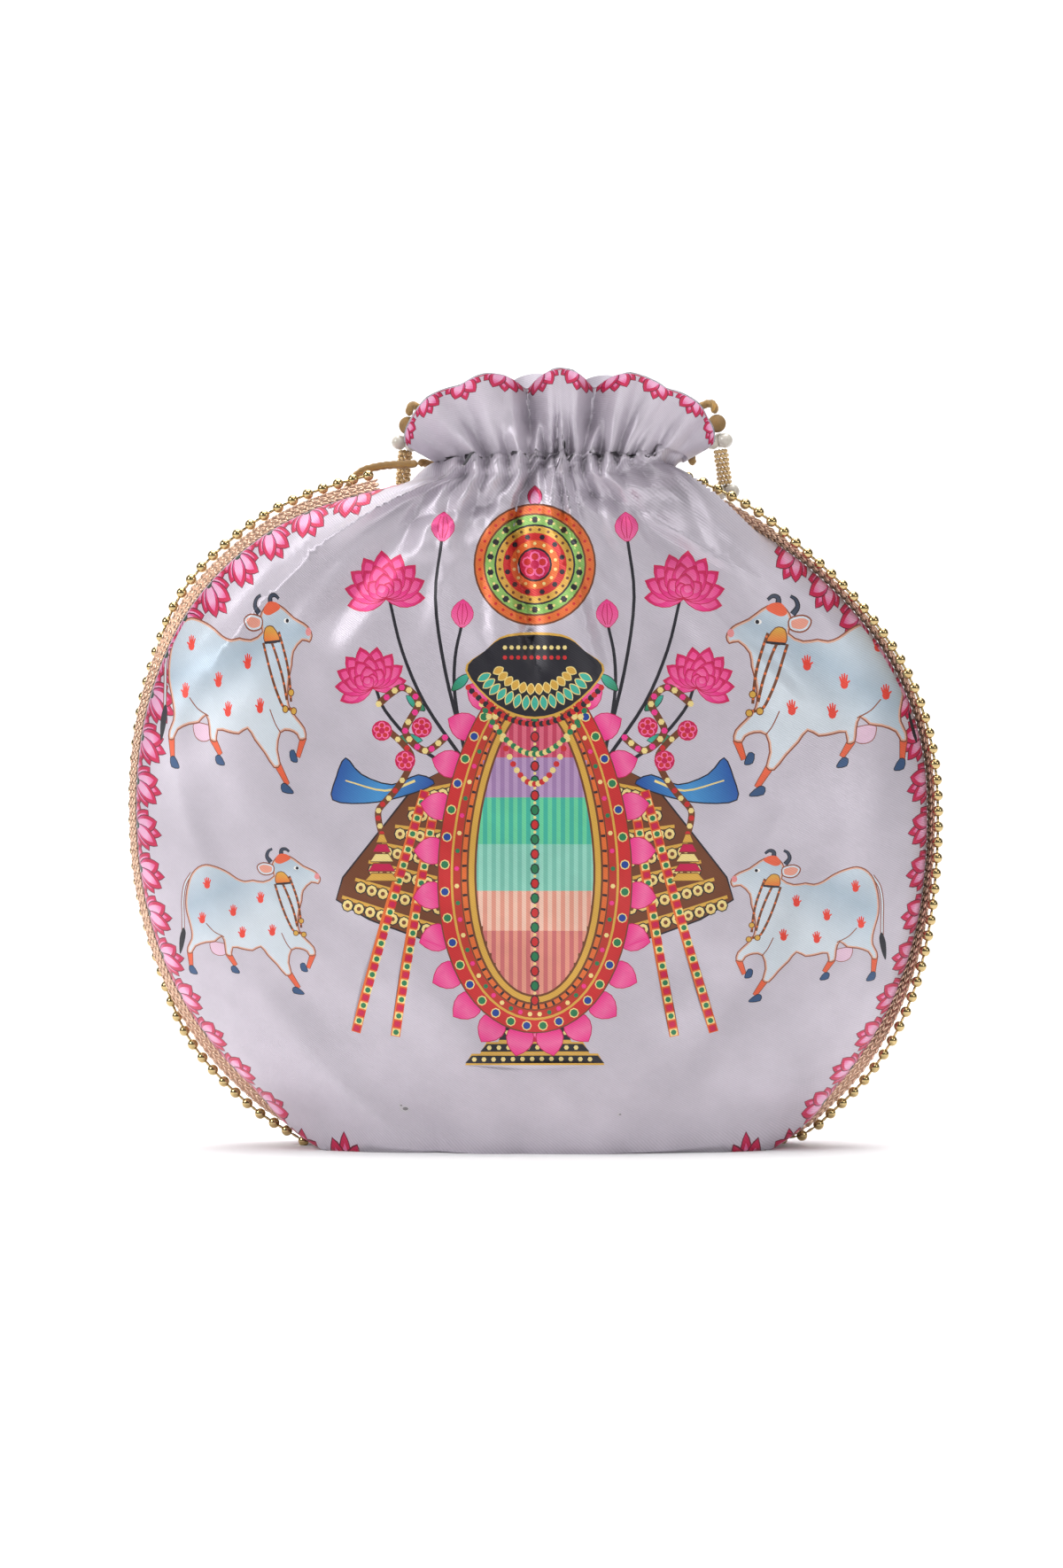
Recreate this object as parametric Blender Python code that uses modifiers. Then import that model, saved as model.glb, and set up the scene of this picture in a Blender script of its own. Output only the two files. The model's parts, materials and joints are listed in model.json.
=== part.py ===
"""A satin drawstring reticule (potli), standing on its flattened base: two gathered
panels with a frill, a braid and a ball edging round the seam, a handle cord and two
bead tassels. Metres, +Z up, the front faces -Y, and the origin is on the floor under
the middle of the pouch."""

import math
from collections import namedtuple

import bmesh
import bpy
from mathutils import Vector

# Pouch: the seam's outline seen from the front, and how full it is
SEAM_HALF_WIDTH = 0.121
WIDEST_HEIGHT = 0.104
SEAM_RISE = 0.103  # widest place to the top of the seam's curve
SEAM_DROP = 0.117  # widest place to where the curve would end below the floor
SHOULDER_POWER = 2.15  # 2 would be an ellipse, and more is squarer
BASE_POWER = 2.25
BELLY_DEPTH = 0.034
TUCK = 0.0062  # the bottom seam is folded up this far off the floor
LEAN = 0.005
SWELL_POWER = 2.4
SWELL_EASE = 0.75
CROSSWISE_BEND = 0.5  # how much the cloth closes up towards the seams

# Neck and frill
NECK_HEIGHT = 0.211
NECK_HALF_WIDTH = 0.0375
NECK_DEPTH = 0.0125
NECK_SHIFT = 0.0085
NECK_SIDE_DROP = 0.002
CASING_HEIGHT = 0.006
FRILL_HEIGHT = 0.0265
FRILL_CORNER = 0.0105  # the frill's height at its two ends
FRILL_FLARE = 0.0085
FRILL_SPREAD = math.radians(60)
LOBE_DIP = 0.0042

# Cloth
WALL = 0.0012
SEAM_GAP = 0.0003
FIT_GAP = 0.0003

# Seam trim
TAPE_WIDTH = 0.0032
TAPE_THICKNESS = 0.0009
BALL_DIAMETER = 0.0028
TRIM_STATIONS = 76

# Cords and tassels
CORD_DIAMETER = 0.0026
WRAPPED_BALL = 0.0056
PEARL = 0.0046
PEARLS_ROUND = 3
BARREL_LENGTH = 0.011
BARREL_DIAMETER = 0.0048
BARREL_WAIST = 0.0041
END_BEAD = 0.0042

# The panel from the bottom seam up to the neck. cloth is the share of the way up the
# cloth, seam the height of the side seam as a share of its rise, belly, neck, tuck
# and height the shares of BELLY_DEPTH, NECK_DEPTH, TUCK and NECK_HEIGHT at the middle.
Section = namedtuple("Section", "cloth seam belly neck tuck height lean")
SECTIONS = [
    Section(0.000, 0.000, 0.00, 0.00, 1.00, 0.000, 1.2),
    Section(0.022, 0.006, 0.17, 0.00, 0.90, 0.000, 1.2),
    Section(0.040, 0.014, 0.36, 0.00, 0.15, -0.035, 1.2),
    Section(0.055, 0.022, 0.50, 0.00, 0.00, -0.055, 1.1),
    Section(0.080, 0.040, 0.66, 0.00, 0.00, -0.052, 0.9),
    Section(0.110, 0.065, 0.79, 0.00, 0.00, 0.014, 0.8),
    Section(0.160, 0.115, 0.90, 0.00, 0.00, 0.073, 0.6),
    Section(0.230, 0.190, 0.97, 0.00, 0.00, 0.150, 0.4),
    Section(0.320, 0.290, 1.00, 0.00, 0.00, 0.250, 0.2),
    Section(0.430, 0.415, 1.00, 0.00, 0.00, 0.370, 0.05),
    Section(0.540, 0.540, 0.97, 0.00, 0.00, 0.490, 0.0),
    Section(0.650, 0.665, 0.89, 0.00, 0.00, 0.612, -0.2),
    Section(0.750, 0.775, 0.78, 0.03, 0.00, 0.725, -0.7),
    Section(0.840, 0.865, 0.61, 0.12, 0.00, 0.830, -1.2),
    Section(0.910, 0.925, 0.43, 0.32, 0.00, 0.910, -1.6),
    Section(0.960, 0.965, 0.22, 0.62, 0.00, 0.965, -1.2),
    Section(1.000, 1.000, 0.00, 1.00, 0.00, 1.000, 0.0),
]
BASE_ROWS = [0.0, 0.022, 0.04, 0.055, 0.08, 0.11, 0.15, 0.20, 0.27]
SIDE_ROWS = [0.36, 0.46, 0.56, 0.66, 0.73, 0.79]
SHOULDER_ROWS = [0.84, 0.88, 0.915, 0.945, 0.97, 1.0]
FRILL_ROWS = [0.16, 0.42, 0.72, 1.0]
SIDE_COLUMNS = [0.97, 0.99]

# The gathers at the neck: where each lies across it (-1 to 1), its half width there,
# its height as a share of PLEAT_HEIGHT, and how far down the cloth it dies out.
PLEAT_HEIGHT = 0.0024
Pleat = namedtuple("Pleat", "place half_width height reach")
FRONT_PLEATS = [
    Pleat(-0.80, 0.13, 0.70, 0.16),
    Pleat(-0.54, 0.12, 0.90, 0.20),
    Pleat(-0.31, 0.10, 1.00, 0.15),
    Pleat(-0.11, 0.09, 1.00, 0.17),
    Pleat(0.10, 0.11, 1.15, 0.24),
    Pleat(0.33, 0.11, 1.00, 0.15),
    Pleat(0.55, 0.10, 0.95, 0.16),
    Pleat(0.79, 0.13, 0.80, 0.20),
]
BACK_PLEATS = [
    Pleat(-0.79, 0.13, 0.80, 0.18),
    Pleat(-0.55, 0.10, 0.95, 0.15),
    Pleat(-0.34, 0.10, 1.00, 0.22),
    Pleat(-0.12, 0.11, 1.00, 0.16),
    Pleat(0.11, 0.11, 1.05, 0.18),
    Pleat(0.32, 0.09, 0.95, 0.22),
    Pleat(0.55, 0.13, 1.00, 0.15),
    Pleat(0.81, 0.12, 0.75, 0.19),
]

# Soft folds of the pouch: a ridge or hollow along the line from one place on the
# panel (across, cloth) to another, with its half width across and its height as a
# share of FOLD_HEIGHT.
FOLD_HEIGHT = 0.003
Fold = namedtuple("Fold", "across_a cloth_a across_b cloth_b half_width height")
FRONT_FOLDS = [
    Fold(-0.04, 1.00, 0.03, 0.72, 0.07, -1.1),
    Fold(0.12, 0.98, 0.14, 0.70, 0.10, 0.9),
    Fold(-0.42, 0.99, -0.68, 0.74, 0.16, 1.1),
    Fold(-0.28, 0.94, -0.44, 0.76, 0.12, -0.7),
    Fold(0.55, 0.99, 0.76, 0.80, 0.16, 1.0),
    Fold(0.50, 0.90, 0.84, 0.62, 0.12, -0.8),
    Fold(-0.55, 0.30, -0.30, 0.10, 0.16, -0.6),
    Fold(0.72, 0.50, 0.45, 0.22, 0.16, -0.5),
]
BACK_FOLDS = [
    Fold(-0.10, 1.00, -0.20, 0.72, 0.10, -0.9),
    Fold(0.20, 0.98, 0.30, 0.74, 0.12, 0.8),
    Fold(-0.50, 0.99, -0.74, 0.76, 0.16, 1.0),
    Fold(0.55, 0.98, 0.78, 0.78, 0.14, 0.9),
    Fold(0.40, 0.36, 0.60, 0.14, 0.16, -0.6),
]

# The frill's lobes at the rim: middle, half width across, and fullness
Lobe = namedtuple("Lobe", "place half_width fullness")
FRONT_LOBES = [
    Lobe(-0.58, 0.42, 1.0),
    Lobe(0.025, 0.185, 0.9),
    Lobe(0.605, 0.395, 1.05),
]
BACK_LOBES = [
    Lobe(-0.66, 0.34, 1.0),
    Lobe(-0.10, 0.22, 0.9),
    Lobe(0.50, 0.38, 1.0),
    Lobe(0.94, 0.06, 0.5),
]

# How the tape turns along the seam, from the neck's left side round the bottom to its
# right side: 0 lies in the panel's plane, and 90 leans straight back.
Twist = namedtuple("Twist", "share degrees")
TAPE_TWIST = [
    Twist(0.00, 30),
    Twist(0.10, 25),
    Twist(0.20, 55),
    Twist(0.28, 45),
    Twist(0.34, 34),
    Twist(0.38, 42),
    Twist(0.42, 52),
    Twist(0.50, 72),
    Twist(0.58, 52),
    Twist(0.62, 42),
    Twist(0.66, 22),
    Twist(0.71, -25),
    Twist(0.78, -55),
    Twist(0.88, -35),
    Twist(1.00, 10),
]
TRIM_END = 0.955  # share of the cloth's height where the trim stops under the neck

# The handle cord's route: out of the neck's left side, over the shoulder, down the
# back in a loop, and up to the neck again.
HANDLE_ROUTE = [
    (-0.0348, 0.0042, 0.2090),
    (-0.0405, 0.0050, 0.2088),
    (-0.0470, 0.0064, 0.2082),
    (-0.0530, 0.0088, 0.2062),
    (-0.0572, 0.0138, 0.2005),
    (-0.0604, 0.0165, 0.1915),
    (-0.0610, 0.0235, 0.1746),
    (-0.0592, 0.0273, 0.1544),
    (-0.0543, 0.0309, 0.1333),
    (-0.0453, 0.0339, 0.1173),
    (-0.0342, 0.0353, 0.1123),
    (-0.0241, 0.0350, 0.1193),
    (-0.0193, 0.0324, 0.1375),
    (-0.0185, 0.0285, 0.1576),
    (-0.0192, 0.0238, 0.1765),
    (-0.0220, 0.0224, 0.1928),
    (-0.0262, 0.0198, 0.2048),
    (-0.0312, 0.0148, 0.2088),
    (-0.0344, 0.0098, 0.2096),
]
# Each tassel's cord, from the neck's side up behind the frill and over to the ball
LEFT_TASSEL_ROUTE = [
    (-0.0300, 0.0112, 0.2120),
    (-0.0304, 0.0152, 0.2148),
    (-0.0312, 0.0184, 0.2188),
    (-0.0328, 0.0198, 0.2236),
    (-0.0353, 0.0190, 0.2268),
    (-0.0372, 0.0160, 0.2270),
    (-0.0378, 0.0154, 0.2240),
]
RIGHT_TASSEL_ROUTE = [
    (0.0492, 0.0066, 0.2105),
    (0.0488, 0.0108, 0.2138),
    (0.0488, 0.0142, 0.2180),
    (0.0497, 0.0160, 0.2228),
    (0.0522, 0.0150, 0.2268),
    (0.0556, 0.0124, 0.2276),
    (0.0566, 0.0118, 0.2246),
]

# How each tassel hangs: outwards from the neck and backwards, as shares of its height
Hang = namedtuple("Hang", "hand route outwards backwards")
TASSELS = [
    Hang("left", LEFT_TASSEL_ROUTE, -0.10, 0.28),
    Hang("right", RIGHT_TASSEL_ROUTE, 0.14, 0.10),
]


def smooth_step(value):
    """0 below 0, 1 above 1, and an even turn between them."""
    value = min(max(value, 0.0), 1.0)
    return value * value * (3 - 2 * value)


def hump(value):
    """A rounded ridge from -1 to 1, 1 high in the middle."""
    return math.cos(value * math.pi / 2) ** 2 if abs(value) < 1 else 0.0


def slopes_of(places, values):
    """A slope at each row that never lets the curve overshoot its rows."""
    steps = [b - a for a, b in zip(places, places[1:])]
    rises = [(b - a) / step for a, b, step in zip(values, values[1:], steps)]
    middle = [
        2 * a * b / (a + b) if a * b > 0 else 0.0 for a, b in zip(rises, rises[1:])
    ]
    return [rises[0], *middle, rises[-1]]


def smooth_table(rows):
    """A function that reads a table between its rows, by its first column."""
    places = [row[0] for row in rows]
    columns = list(zip(*rows))
    slopes = [slopes_of(places, column) for column in columns]

    def read(place):
        place = min(max(place, places[0]), places[-1])
        i = max(k for k in range(len(rows) - 1) if places[k] <= place)
        step = places[i + 1] - places[i]
        t = (place - places[i]) / step
        found = []
        for column, slope in zip(columns, slopes):
            a, b = column[i], column[i + 1]
            found.append(
                a * (1 + 2 * t) * (1 - t) ** 2
                + b * t * t * (3 - 2 * t)
                + slope[i] * step * t * (1 - t) ** 2
                - slope[i + 1] * step * t * t * (1 - t)
            )
        return type(rows[0])(*found)

    return read


section_at = smooth_table(SECTIONS)
twist_at = smooth_table(TAPE_TWIST)


def swell(across):
    """How full the pouch is across a section: 1 in the middle and 0 at the seams."""
    return (1 - min(abs(across), 1.0) ** SWELL_POWER) ** SWELL_EASE


def crosswise(across):
    """Share of the half width that a place on the cloth has, seen from the front."""
    bend = CROSSWISE_BEND * math.pi / 2
    return math.sin(bend * across) / math.sin(bend)


def outline_half_width(height):
    """Half width of the seam's outline at a height, which narrows to the neck."""
    upper = height > WIDEST_HEIGHT
    reach, power = (SEAM_RISE, SHOULDER_POWER) if upper else (SEAM_DROP, BASE_POWER)
    share = min(abs(height - WIDEST_HEIGHT) / reach, 1.0)
    curve = SEAM_HALF_WIDTH * (1 - share**power) ** (1 / power)
    casing_foot = NECK_HEIGHT - NECK_SIDE_DROP - CASING_HEIGHT
    closing = smooth_step((height - casing_foot) / CASING_HEIGHT)
    return max(curve, NECK_HALF_WIDTH) * (1 - closing) + NECK_HALF_WIDTH * closing


def seam_of(section):
    """(middle x, half width, height) of the seam at a section."""
    rise = NECK_HEIGHT - NECK_SIDE_DROP - TUCK
    height = TUCK + section.seam * rise
    middle = LEAN * section.lean + NECK_SHIFT * section.neck
    return middle, outline_half_width(height), height


def fold_rise(folds, across, cloth):
    """Height of the soft folds at a place on the panel."""
    rise = 0.0
    for fold in folds:
        dx = fold.across_b - fold.across_a
        dy = fold.cloth_b - fold.cloth_a
        along = (across - fold.across_a) * dx + (cloth - fold.cloth_a) * dy
        along /= dx * dx + dy * dy
        beside = across - fold.across_a - dx * along
        ends = smooth_step(along / 0.3 + 0.5) * smooth_step((1 - along) / 0.4 + 0.5)
        rise += FOLD_HEIGHT * fold.height * hump(beside / fold.half_width) * ends
    return rise


def pleat_rise(pleats, across, below):
    """Height of the gathers at a place this far below the neck, in shares of cloth."""
    return sum(
        PLEAT_HEIGHT
        * pleat.height
        * hump((across - pleat.place) / pleat.half_width)
        * (1 - smooth_step(below / pleat.reach))
        for pleat in pleats
    )


def body_point(side, across, cloth):
    """A point on the outside of a panel, from the bottom seam to the neck."""
    pleats, folds = (
        (FRONT_PLEATS, FRONT_FOLDS) if side < 0 else (BACK_PLEATS, BACK_FOLDS)
    )
    section = section_at(cloth)
    middle, half, seam_height = seam_of(section)
    full = swell(across)
    depth = BELLY_DEPTH * section.belly + NECK_DEPTH * section.neck
    height = TUCK * section.tuck + NECK_HEIGHT * section.height
    rise = fold_rise(folds, across, cloth) + pleat_rise(pleats, across, 1 - cloth)
    return Vector(
        (
            middle + half * crosswise(across),
            side * (SEAM_GAP / 2 + WALL + (depth + rise) * full),
            max(seam_height + (height - seam_height) * full, 0.0),
        )
    )


def frill_point(side, across, up):
    """A point on the outside of the frill, from the neck (0) to the rim (1)."""
    pleats, lobes = (
        (FRONT_PLEATS, FRONT_LOBES) if side < 0 else (BACK_PLEATS, BACK_LOBES)
    )
    start = body_point(side, across, 1.0)
    lobe = sum(
        lobe.fullness * hump((across - lobe.place) / lobe.half_width) ** 0.7
        for lobe in lobes
    )
    tall = FRILL_CORNER + (FRILL_HEIGHT - FRILL_CORNER) * (1 - abs(across) ** 3.5)
    tall -= LOBE_DIP * (1 - min(lobe, 1.0)) * swell(across)
    turn = FRILL_SPREAD * math.copysign(abs(across) ** 1.4, across)
    pressed = pleat_rise(pleats, across, 0.0) * swell(across) * (1 - (1 - up) ** 2)
    flare = FRILL_FLARE * (0.25 + 0.75 * lobe) * up**1.5
    return start + Vector(
        (
            tall * up * math.sin(turn),
            side * (flare - pressed),
            tall * up * math.cos(turn),
        )
    )


def panel_point(side, across, up):
    """up is 0 at the bottom seam, 1 at the neck and 2 at the frill's rim."""
    if up <= 1:
        return body_point(side, across, up)
    return frill_point(side, across, up - 1)


def panel_columns(pleats):
    """Places across the panel where its mesh has a column: four to each gather."""
    places = {-1.0, 1.0}
    for pleat in pleats:
        for step in (-1.0, -0.5, 0.0, 0.5):
            places.add(round(pleat.place + step * pleat.half_width, 4))
    places |= {sign * place for sign in (-1, 1) for place in SIDE_COLUMNS}
    kept = []
    for place in sorted(places):
        if not kept or place - kept[-1] > 0.04:
            kept.append(place)
    kept[-1] = 1.0
    return kept


def seam_path():
    """Points along the seam from the neck's left side round the bottom to its right."""
    side_rows = [row.cloth for row in SECTIONS if row.cloth < TRIM_END] + [TRIM_END]
    fine = [
        a + (b - a) * step / 6
        for a, b in zip(side_rows, side_rows[1:])
        for step in range(6)
    ] + [TRIM_END]
    right, left = [], []
    for cloth in fine:
        middle, half, height = seam_of(section_at(cloth))
        right.append(Vector((middle + half, 0, height)))
        left.append(Vector((middle - half, 0, height)))
    return left[::-1] + right


def evenly_spaced(points, count):
    """count points spread evenly along the line through these points."""
    lengths = [0.0]
    for a, b in zip(points, points[1:]):
        lengths.append(lengths[-1] + (b - a).length)
    spaced, i = [], 0
    for k in range(count):
        goal = lengths[-1] * k / (count - 1)
        while i < len(points) - 2 and lengths[i + 1] < goal:
            i += 1
        share = (goal - lengths[i]) / (lengths[i + 1] - lengths[i])
        spaced.append(points[i].lerp(points[i + 1], min(share, 1.0)))
    return spaced


def trim_frames():
    """(seam point, tape direction) along the trim: the tape runs out from the seam."""
    points = evenly_spaced(seam_path(), TRIM_STATIONS)
    frames = []
    for k, point in enumerate(points):
        ahead = points[min(k + 1, len(points) - 1)] - points[max(k - 1, 0)]
        outward = Vector((0, 1, 0)).cross(ahead).normalized()
        turn = math.radians(twist_at(k / (len(points) - 1)).degrees)
        tape_way = outward * math.cos(turn) + Vector((0, math.sin(turn), 0))
        frames.append((point + outward * (FIT_GAP + TAPE_THICKNESS / 2), tape_way))
    return frames


def through_points(route, steps=2):
    """A smooth line through a cord's own points."""
    points = [Vector(p) for p in route]
    ends = [2 * points[0] - points[1], *points, 2 * points[-1] - points[-2]]
    line = []
    for a, b, c, d in zip(ends, ends[1:], ends[2:], ends[3:]):
        for step in range(steps):
            t = step / steps
            line.append(
                0.5
                * (
                    2 * b
                    + (c - a) * t
                    + (2 * a - 5 * b + 4 * c - d) * t * t
                    + (3 * b - a - 3 * c + d) * t**3
                )
            )
    return [*line, points[-1]]


def material(name, colour, roughness, metallic=0.0):
    """A plain material with the part's colour."""
    made = bpy.data.materials.new(name)
    made.use_nodes = True
    shader = made.node_tree.nodes["Principled BSDF"]
    shader.inputs["Base Color"].default_value = (*colour, 1.0)
    shader.inputs["Roughness"].default_value = roughness
    shader.inputs["Metallic"].default_value = metallic
    return made


def link(name, data, finish, smooth=True):
    """The object for a piece, in the reticule's collection."""
    made = bpy.data.objects.new(name, data)
    data.materials.clear()
    data.materials.append(finish)
    if smooth and isinstance(data, bpy.types.Mesh):
        data.shade_smooth()
    bpy.data.collections["reticule"].objects.link(made)
    return made


def sheet(name, columns, rows, place, thickness, offset, finish):
    """An open sheet, made from a flat grid whose points go to place, and its wall."""
    grid = bmesh.new()
    bmesh.ops.create_grid(
        grid, x_segments=len(columns) - 1, y_segments=len(rows) - 1, size=0.5
    )
    for vert in grid.verts:
        column = columns[round((vert.co.x + 0.5) * (len(columns) - 1))]
        row = rows[round((vert.co.y + 0.5) * (len(rows) - 1))]
        vert.co = place(column, row)
    mesh = bpy.data.meshes.new(name)
    grid.to_mesh(mesh)
    grid.free()
    made = link(name, mesh, finish)
    wall = made.modifiers.new("wall", "SOLIDIFY")
    wall.thickness = thickness
    wall.offset = offset
    return made


def tube(name, points, diameter, finish, sides_step=2):
    """A round cord or edging along a line of points, with closed ends."""
    curve = bpy.data.curves.new(name, "CURVE")
    curve.dimensions = "3D"
    spline = curve.splines.new("POLY")
    spline.points.add(len(points) - 1)
    for target, point in zip(spline.points, points):
        target.co = (*point, 1.0)
    curve.bevel_depth = diameter / 2
    curve.bevel_resolution = sides_step
    curve.use_fill_caps = True
    return link(name, curve, finish)


def make_panels(satin):
    """The front and back panels, each one piece of cloth with its frill."""
    rows = BASE_ROWS + SIDE_ROWS + SHOULDER_ROWS + [1 + up for up in FRILL_ROWS]
    for name, side, pleats in (
        ("front_panel", -1, FRONT_PLEATS),
        ("back_panel", 1, BACK_PLEATS),
    ):
        columns = panel_columns(pleats)
        sheet(
            name,
            columns[:: -side],
            rows,
            lambda across, up, side=side: panel_point(side, across, up),
            WALL,
            -1,
            satin,
        )


def make_trim(braid, gold):
    """The braid tape sewn along the seam, and the ball edging on its outer edge."""
    frames = trim_frames()
    sheet(
        "edge_tape",
        [0.0, TAPE_WIDTH],
        list(range(TRIM_STATIONS)),
        lambda out, station: frames[station][0] + frames[station][1] * out,
        TAPE_THICKNESS,
        0,
        braid,
    )
    ball_out = TAPE_WIDTH + FIT_GAP + BALL_DIAMETER / 2
    tube(
        "ball_edging",
        [start + way * ball_out for start, way in frames],
        BALL_DIAMETER,
        gold,
    )


def ball_mesh(name, diameter, segments, rings, squash=1.0):
    """A round bead round the origin."""
    bead = bmesh.new()
    bmesh.ops.create_uvsphere(
        bead, u_segments=segments, v_segments=rings, radius=diameter / 2
    )
    for vert in bead.verts:
        vert.co.z *= squash
    mesh = bpy.data.meshes.new(name)
    bead.to_mesh(mesh)
    bead.free()
    return mesh


def pearl_cluster_mesh(finish):
    """Pearls strung side by side round the tassel's thread, fused where they meet."""
    around = PEARL / 2 / math.sin(math.pi / PEARLS_ROUND) * 0.9
    pearls = []
    for k in range(PEARLS_ROUND):
        turn = 2 * math.pi * (k + 0.25) / PEARLS_ROUND
        pearl = link("cluster_pearl", ball_mesh("pearl", PEARL, 10, 7), finish)
        pearl.location = (around * math.cos(turn), around * math.sin(turn), 0)
        pearls.append(pearl)
    base, others = pearls[0], pearls[1:]
    for other in others:
        join = base.modifiers.new("join", "BOOLEAN")
        join.operation = "UNION"
        join.object = other
    bpy.context.view_layer.update()
    graph = bpy.context.evaluated_depsgraph_get()
    mesh = bpy.data.meshes.new_from_object(base.evaluated_get(graph))
    mesh.transform(base.matrix_world)
    for pearl in pearls:
        bpy.data.objects.remove(pearl)
    return mesh


def barrel_mesh():
    """The bead barrel: a turned form with two swellings and a waist between them."""
    widest, waist = BARREL_DIAMETER / 2, BARREL_WAIST / 2
    profile = [
        (0.0, 0.5),
        (waist * 0.8, 0.5),
        (widest, 0.38),
        (widest, 0.12),
        (waist, 0.0),
        (widest, -0.12),
        (widest, -0.38),
        (waist * 0.8, -0.5),
        (0.0, -0.5),
    ]
    outline = bmesh.new()
    points = [outline.verts.new((x, 0, z * BARREL_LENGTH)) for x, z in profile]
    for a, b in zip(points, points[1:]):
        outline.edges.new((a, b))
    mesh = bpy.data.meshes.new("barrel")
    outline.to_mesh(mesh)
    outline.free()
    turned = bpy.data.objects.new("barrel_turning", mesh)
    bpy.data.collections["reticule"].objects.link(turned)
    screw = turned.modifiers.new("turn", "SCREW")
    screw.steps = screw.render_steps = 12
    screw.use_merge_vertices = True
    screw.merge_threshold = 0.00001
    bpy.context.view_layer.update()
    graph = bpy.context.evaluated_depsgraph_get()
    solid = bpy.data.meshes.new_from_object(turned.evaluated_get(graph))
    bpy.data.objects.remove(turned)
    return solid


def make_tassels(finishes):
    """Two tassels of beads, each hung on its cord beside the neck."""
    cluster = pearl_cluster_mesh(finishes["pearl"])
    barrel = barrel_mesh()
    ball = ball_mesh("wrapped", WRAPPED_BALL, 12, 8)
    bead = ball_mesh("end", END_BEAD, 10, 8)
    for hang in TASSELS:
        top = Vector(hang.route[-1])
        down = Vector((hang.outwards, hang.backwards, -1)).normalized()
        turn = (-down).to_track_quat("Z", "Y")
        pieces = [
            ("wrapped_ball", ball, WRAPPED_BALL, "gold_thread"),
            ("upper_pearls", cluster, PEARL, "pearl"),
            ("bead_barrel", barrel, BARREL_LENGTH, "gold_glass"),
            ("lower_pearls", cluster, PEARL, "pearl"),
            ("end_bead", bead, END_BEAD, "gold_glass"),
        ]
        reach = FIT_GAP
        for name, mesh, length, finish in pieces:
            made = link(f"{name}_{hang.hand}", mesh.copy(), finishes[finish])
            made.location = top + down * (reach + length / 2)
            made.rotation_mode = "QUATERNION"
            made.rotation_quaternion = turn
            reach += length + FIT_GAP


def make_cords(gold_thread):
    """The handle cord and the two short cords that the tassels hang on."""
    for name, route in (
        ("handle_cord", HANDLE_ROUTE),
        ("tassel_cord_left", LEFT_TASSEL_ROUTE),
        ("tassel_cord_right", RIGHT_TASSEL_ROUTE),
    ):
        tube(name, through_points(route), CORD_DIAMETER, gold_thread)


def main():
    for old in list(bpy.data.objects):
        bpy.data.objects.remove(old)
    collection = bpy.data.collections.new("reticule")
    bpy.context.scene.collection.children.link(collection)
    satin = material("satin", (0.86, 0.82, 0.85), 0.35)
    braid = material("rose_gold_braid", (0.72, 0.50, 0.38), 0.4, 0.6)
    gold = material("gold_plate", (0.83, 0.71, 0.42), 0.2, 1.0)
    finishes = {
        "gold_thread": material("gold_thread", (0.78, 0.52, 0.16), 0.45, 0.3),
        "pearl": material("pearl", (0.88, 0.86, 0.80), 0.25),
        "gold_glass": material("gold_glass", (0.80, 0.48, 0.15), 0.15, 0.4),
    }
    make_panels(satin)
    make_trim(braid, gold)
    make_cords(finishes["gold_thread"])
    make_tassels(finishes)


main()
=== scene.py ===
"""Looks of the satin drawstring reticule: printed satin with gathers and folds, a braid
and ball edging round the seam, a gold cord and two beaded tassels, standing on a pale
floor in soft light. Lengths are in metres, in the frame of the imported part."""

import json
import math
from collections import namedtuple

import bmesh
import bpy
import numpy as np
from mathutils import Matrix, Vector
from mathutils.geometry import delaunay_2d_cdt

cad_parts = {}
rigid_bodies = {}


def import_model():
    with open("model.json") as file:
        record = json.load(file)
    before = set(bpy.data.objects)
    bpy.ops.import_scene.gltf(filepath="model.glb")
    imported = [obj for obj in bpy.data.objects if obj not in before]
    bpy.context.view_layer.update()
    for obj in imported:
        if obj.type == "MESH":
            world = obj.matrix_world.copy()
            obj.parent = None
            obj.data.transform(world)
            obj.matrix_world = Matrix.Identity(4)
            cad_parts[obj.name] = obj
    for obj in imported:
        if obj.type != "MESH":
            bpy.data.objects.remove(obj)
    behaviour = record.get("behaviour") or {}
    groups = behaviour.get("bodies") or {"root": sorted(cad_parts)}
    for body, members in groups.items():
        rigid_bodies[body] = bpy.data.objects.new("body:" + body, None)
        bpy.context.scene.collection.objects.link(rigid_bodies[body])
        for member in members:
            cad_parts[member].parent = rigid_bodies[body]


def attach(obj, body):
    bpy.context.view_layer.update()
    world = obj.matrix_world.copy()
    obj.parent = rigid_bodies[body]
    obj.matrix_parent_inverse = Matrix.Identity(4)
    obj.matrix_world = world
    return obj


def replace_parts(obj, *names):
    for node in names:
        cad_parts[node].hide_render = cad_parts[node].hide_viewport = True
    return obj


for old in list(bpy.data.objects):
    bpy.data.objects.remove(old)
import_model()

MM = 0.001

# The pouch's own sizes, as in the part's source
SEAM_HALF_WIDTH = 0.121
WIDEST_HEIGHT = 0.104
SEAM_RISE = 0.103
SEAM_DROP = 0.117
SHOULDER_POWER = 2.15
BASE_POWER = 2.25
BELLY_DEPTH = 0.034
TUCK = 0.0062
LEAN = 0.005
SWELL_POWER = 2.4
SWELL_EASE = 0.75
CROSSWISE_BEND = 0.5
NECK_HEIGHT = 0.211
NECK_HALF_WIDTH = 0.0375
NECK_DEPTH = 0.0125
NECK_SHIFT = 0.0085
NECK_SIDE_DROP = 0.002
CASING_HEIGHT = 0.006
FRILL_HEIGHT = 0.0265
FRILL_CORNER = 0.0105
FRILL_FLARE = 0.0085
FRILL_SPREAD = math.radians(60)
LOBE_DIP = 0.0062
WALL = 0.0012
RIM_WALL = 0.0007
SEAM_GAP = 0.0003
FIT_GAP = 0.0003
TAPE_WIDTH = 0.0032
TAPE_THICKNESS = 0.0009
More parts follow.
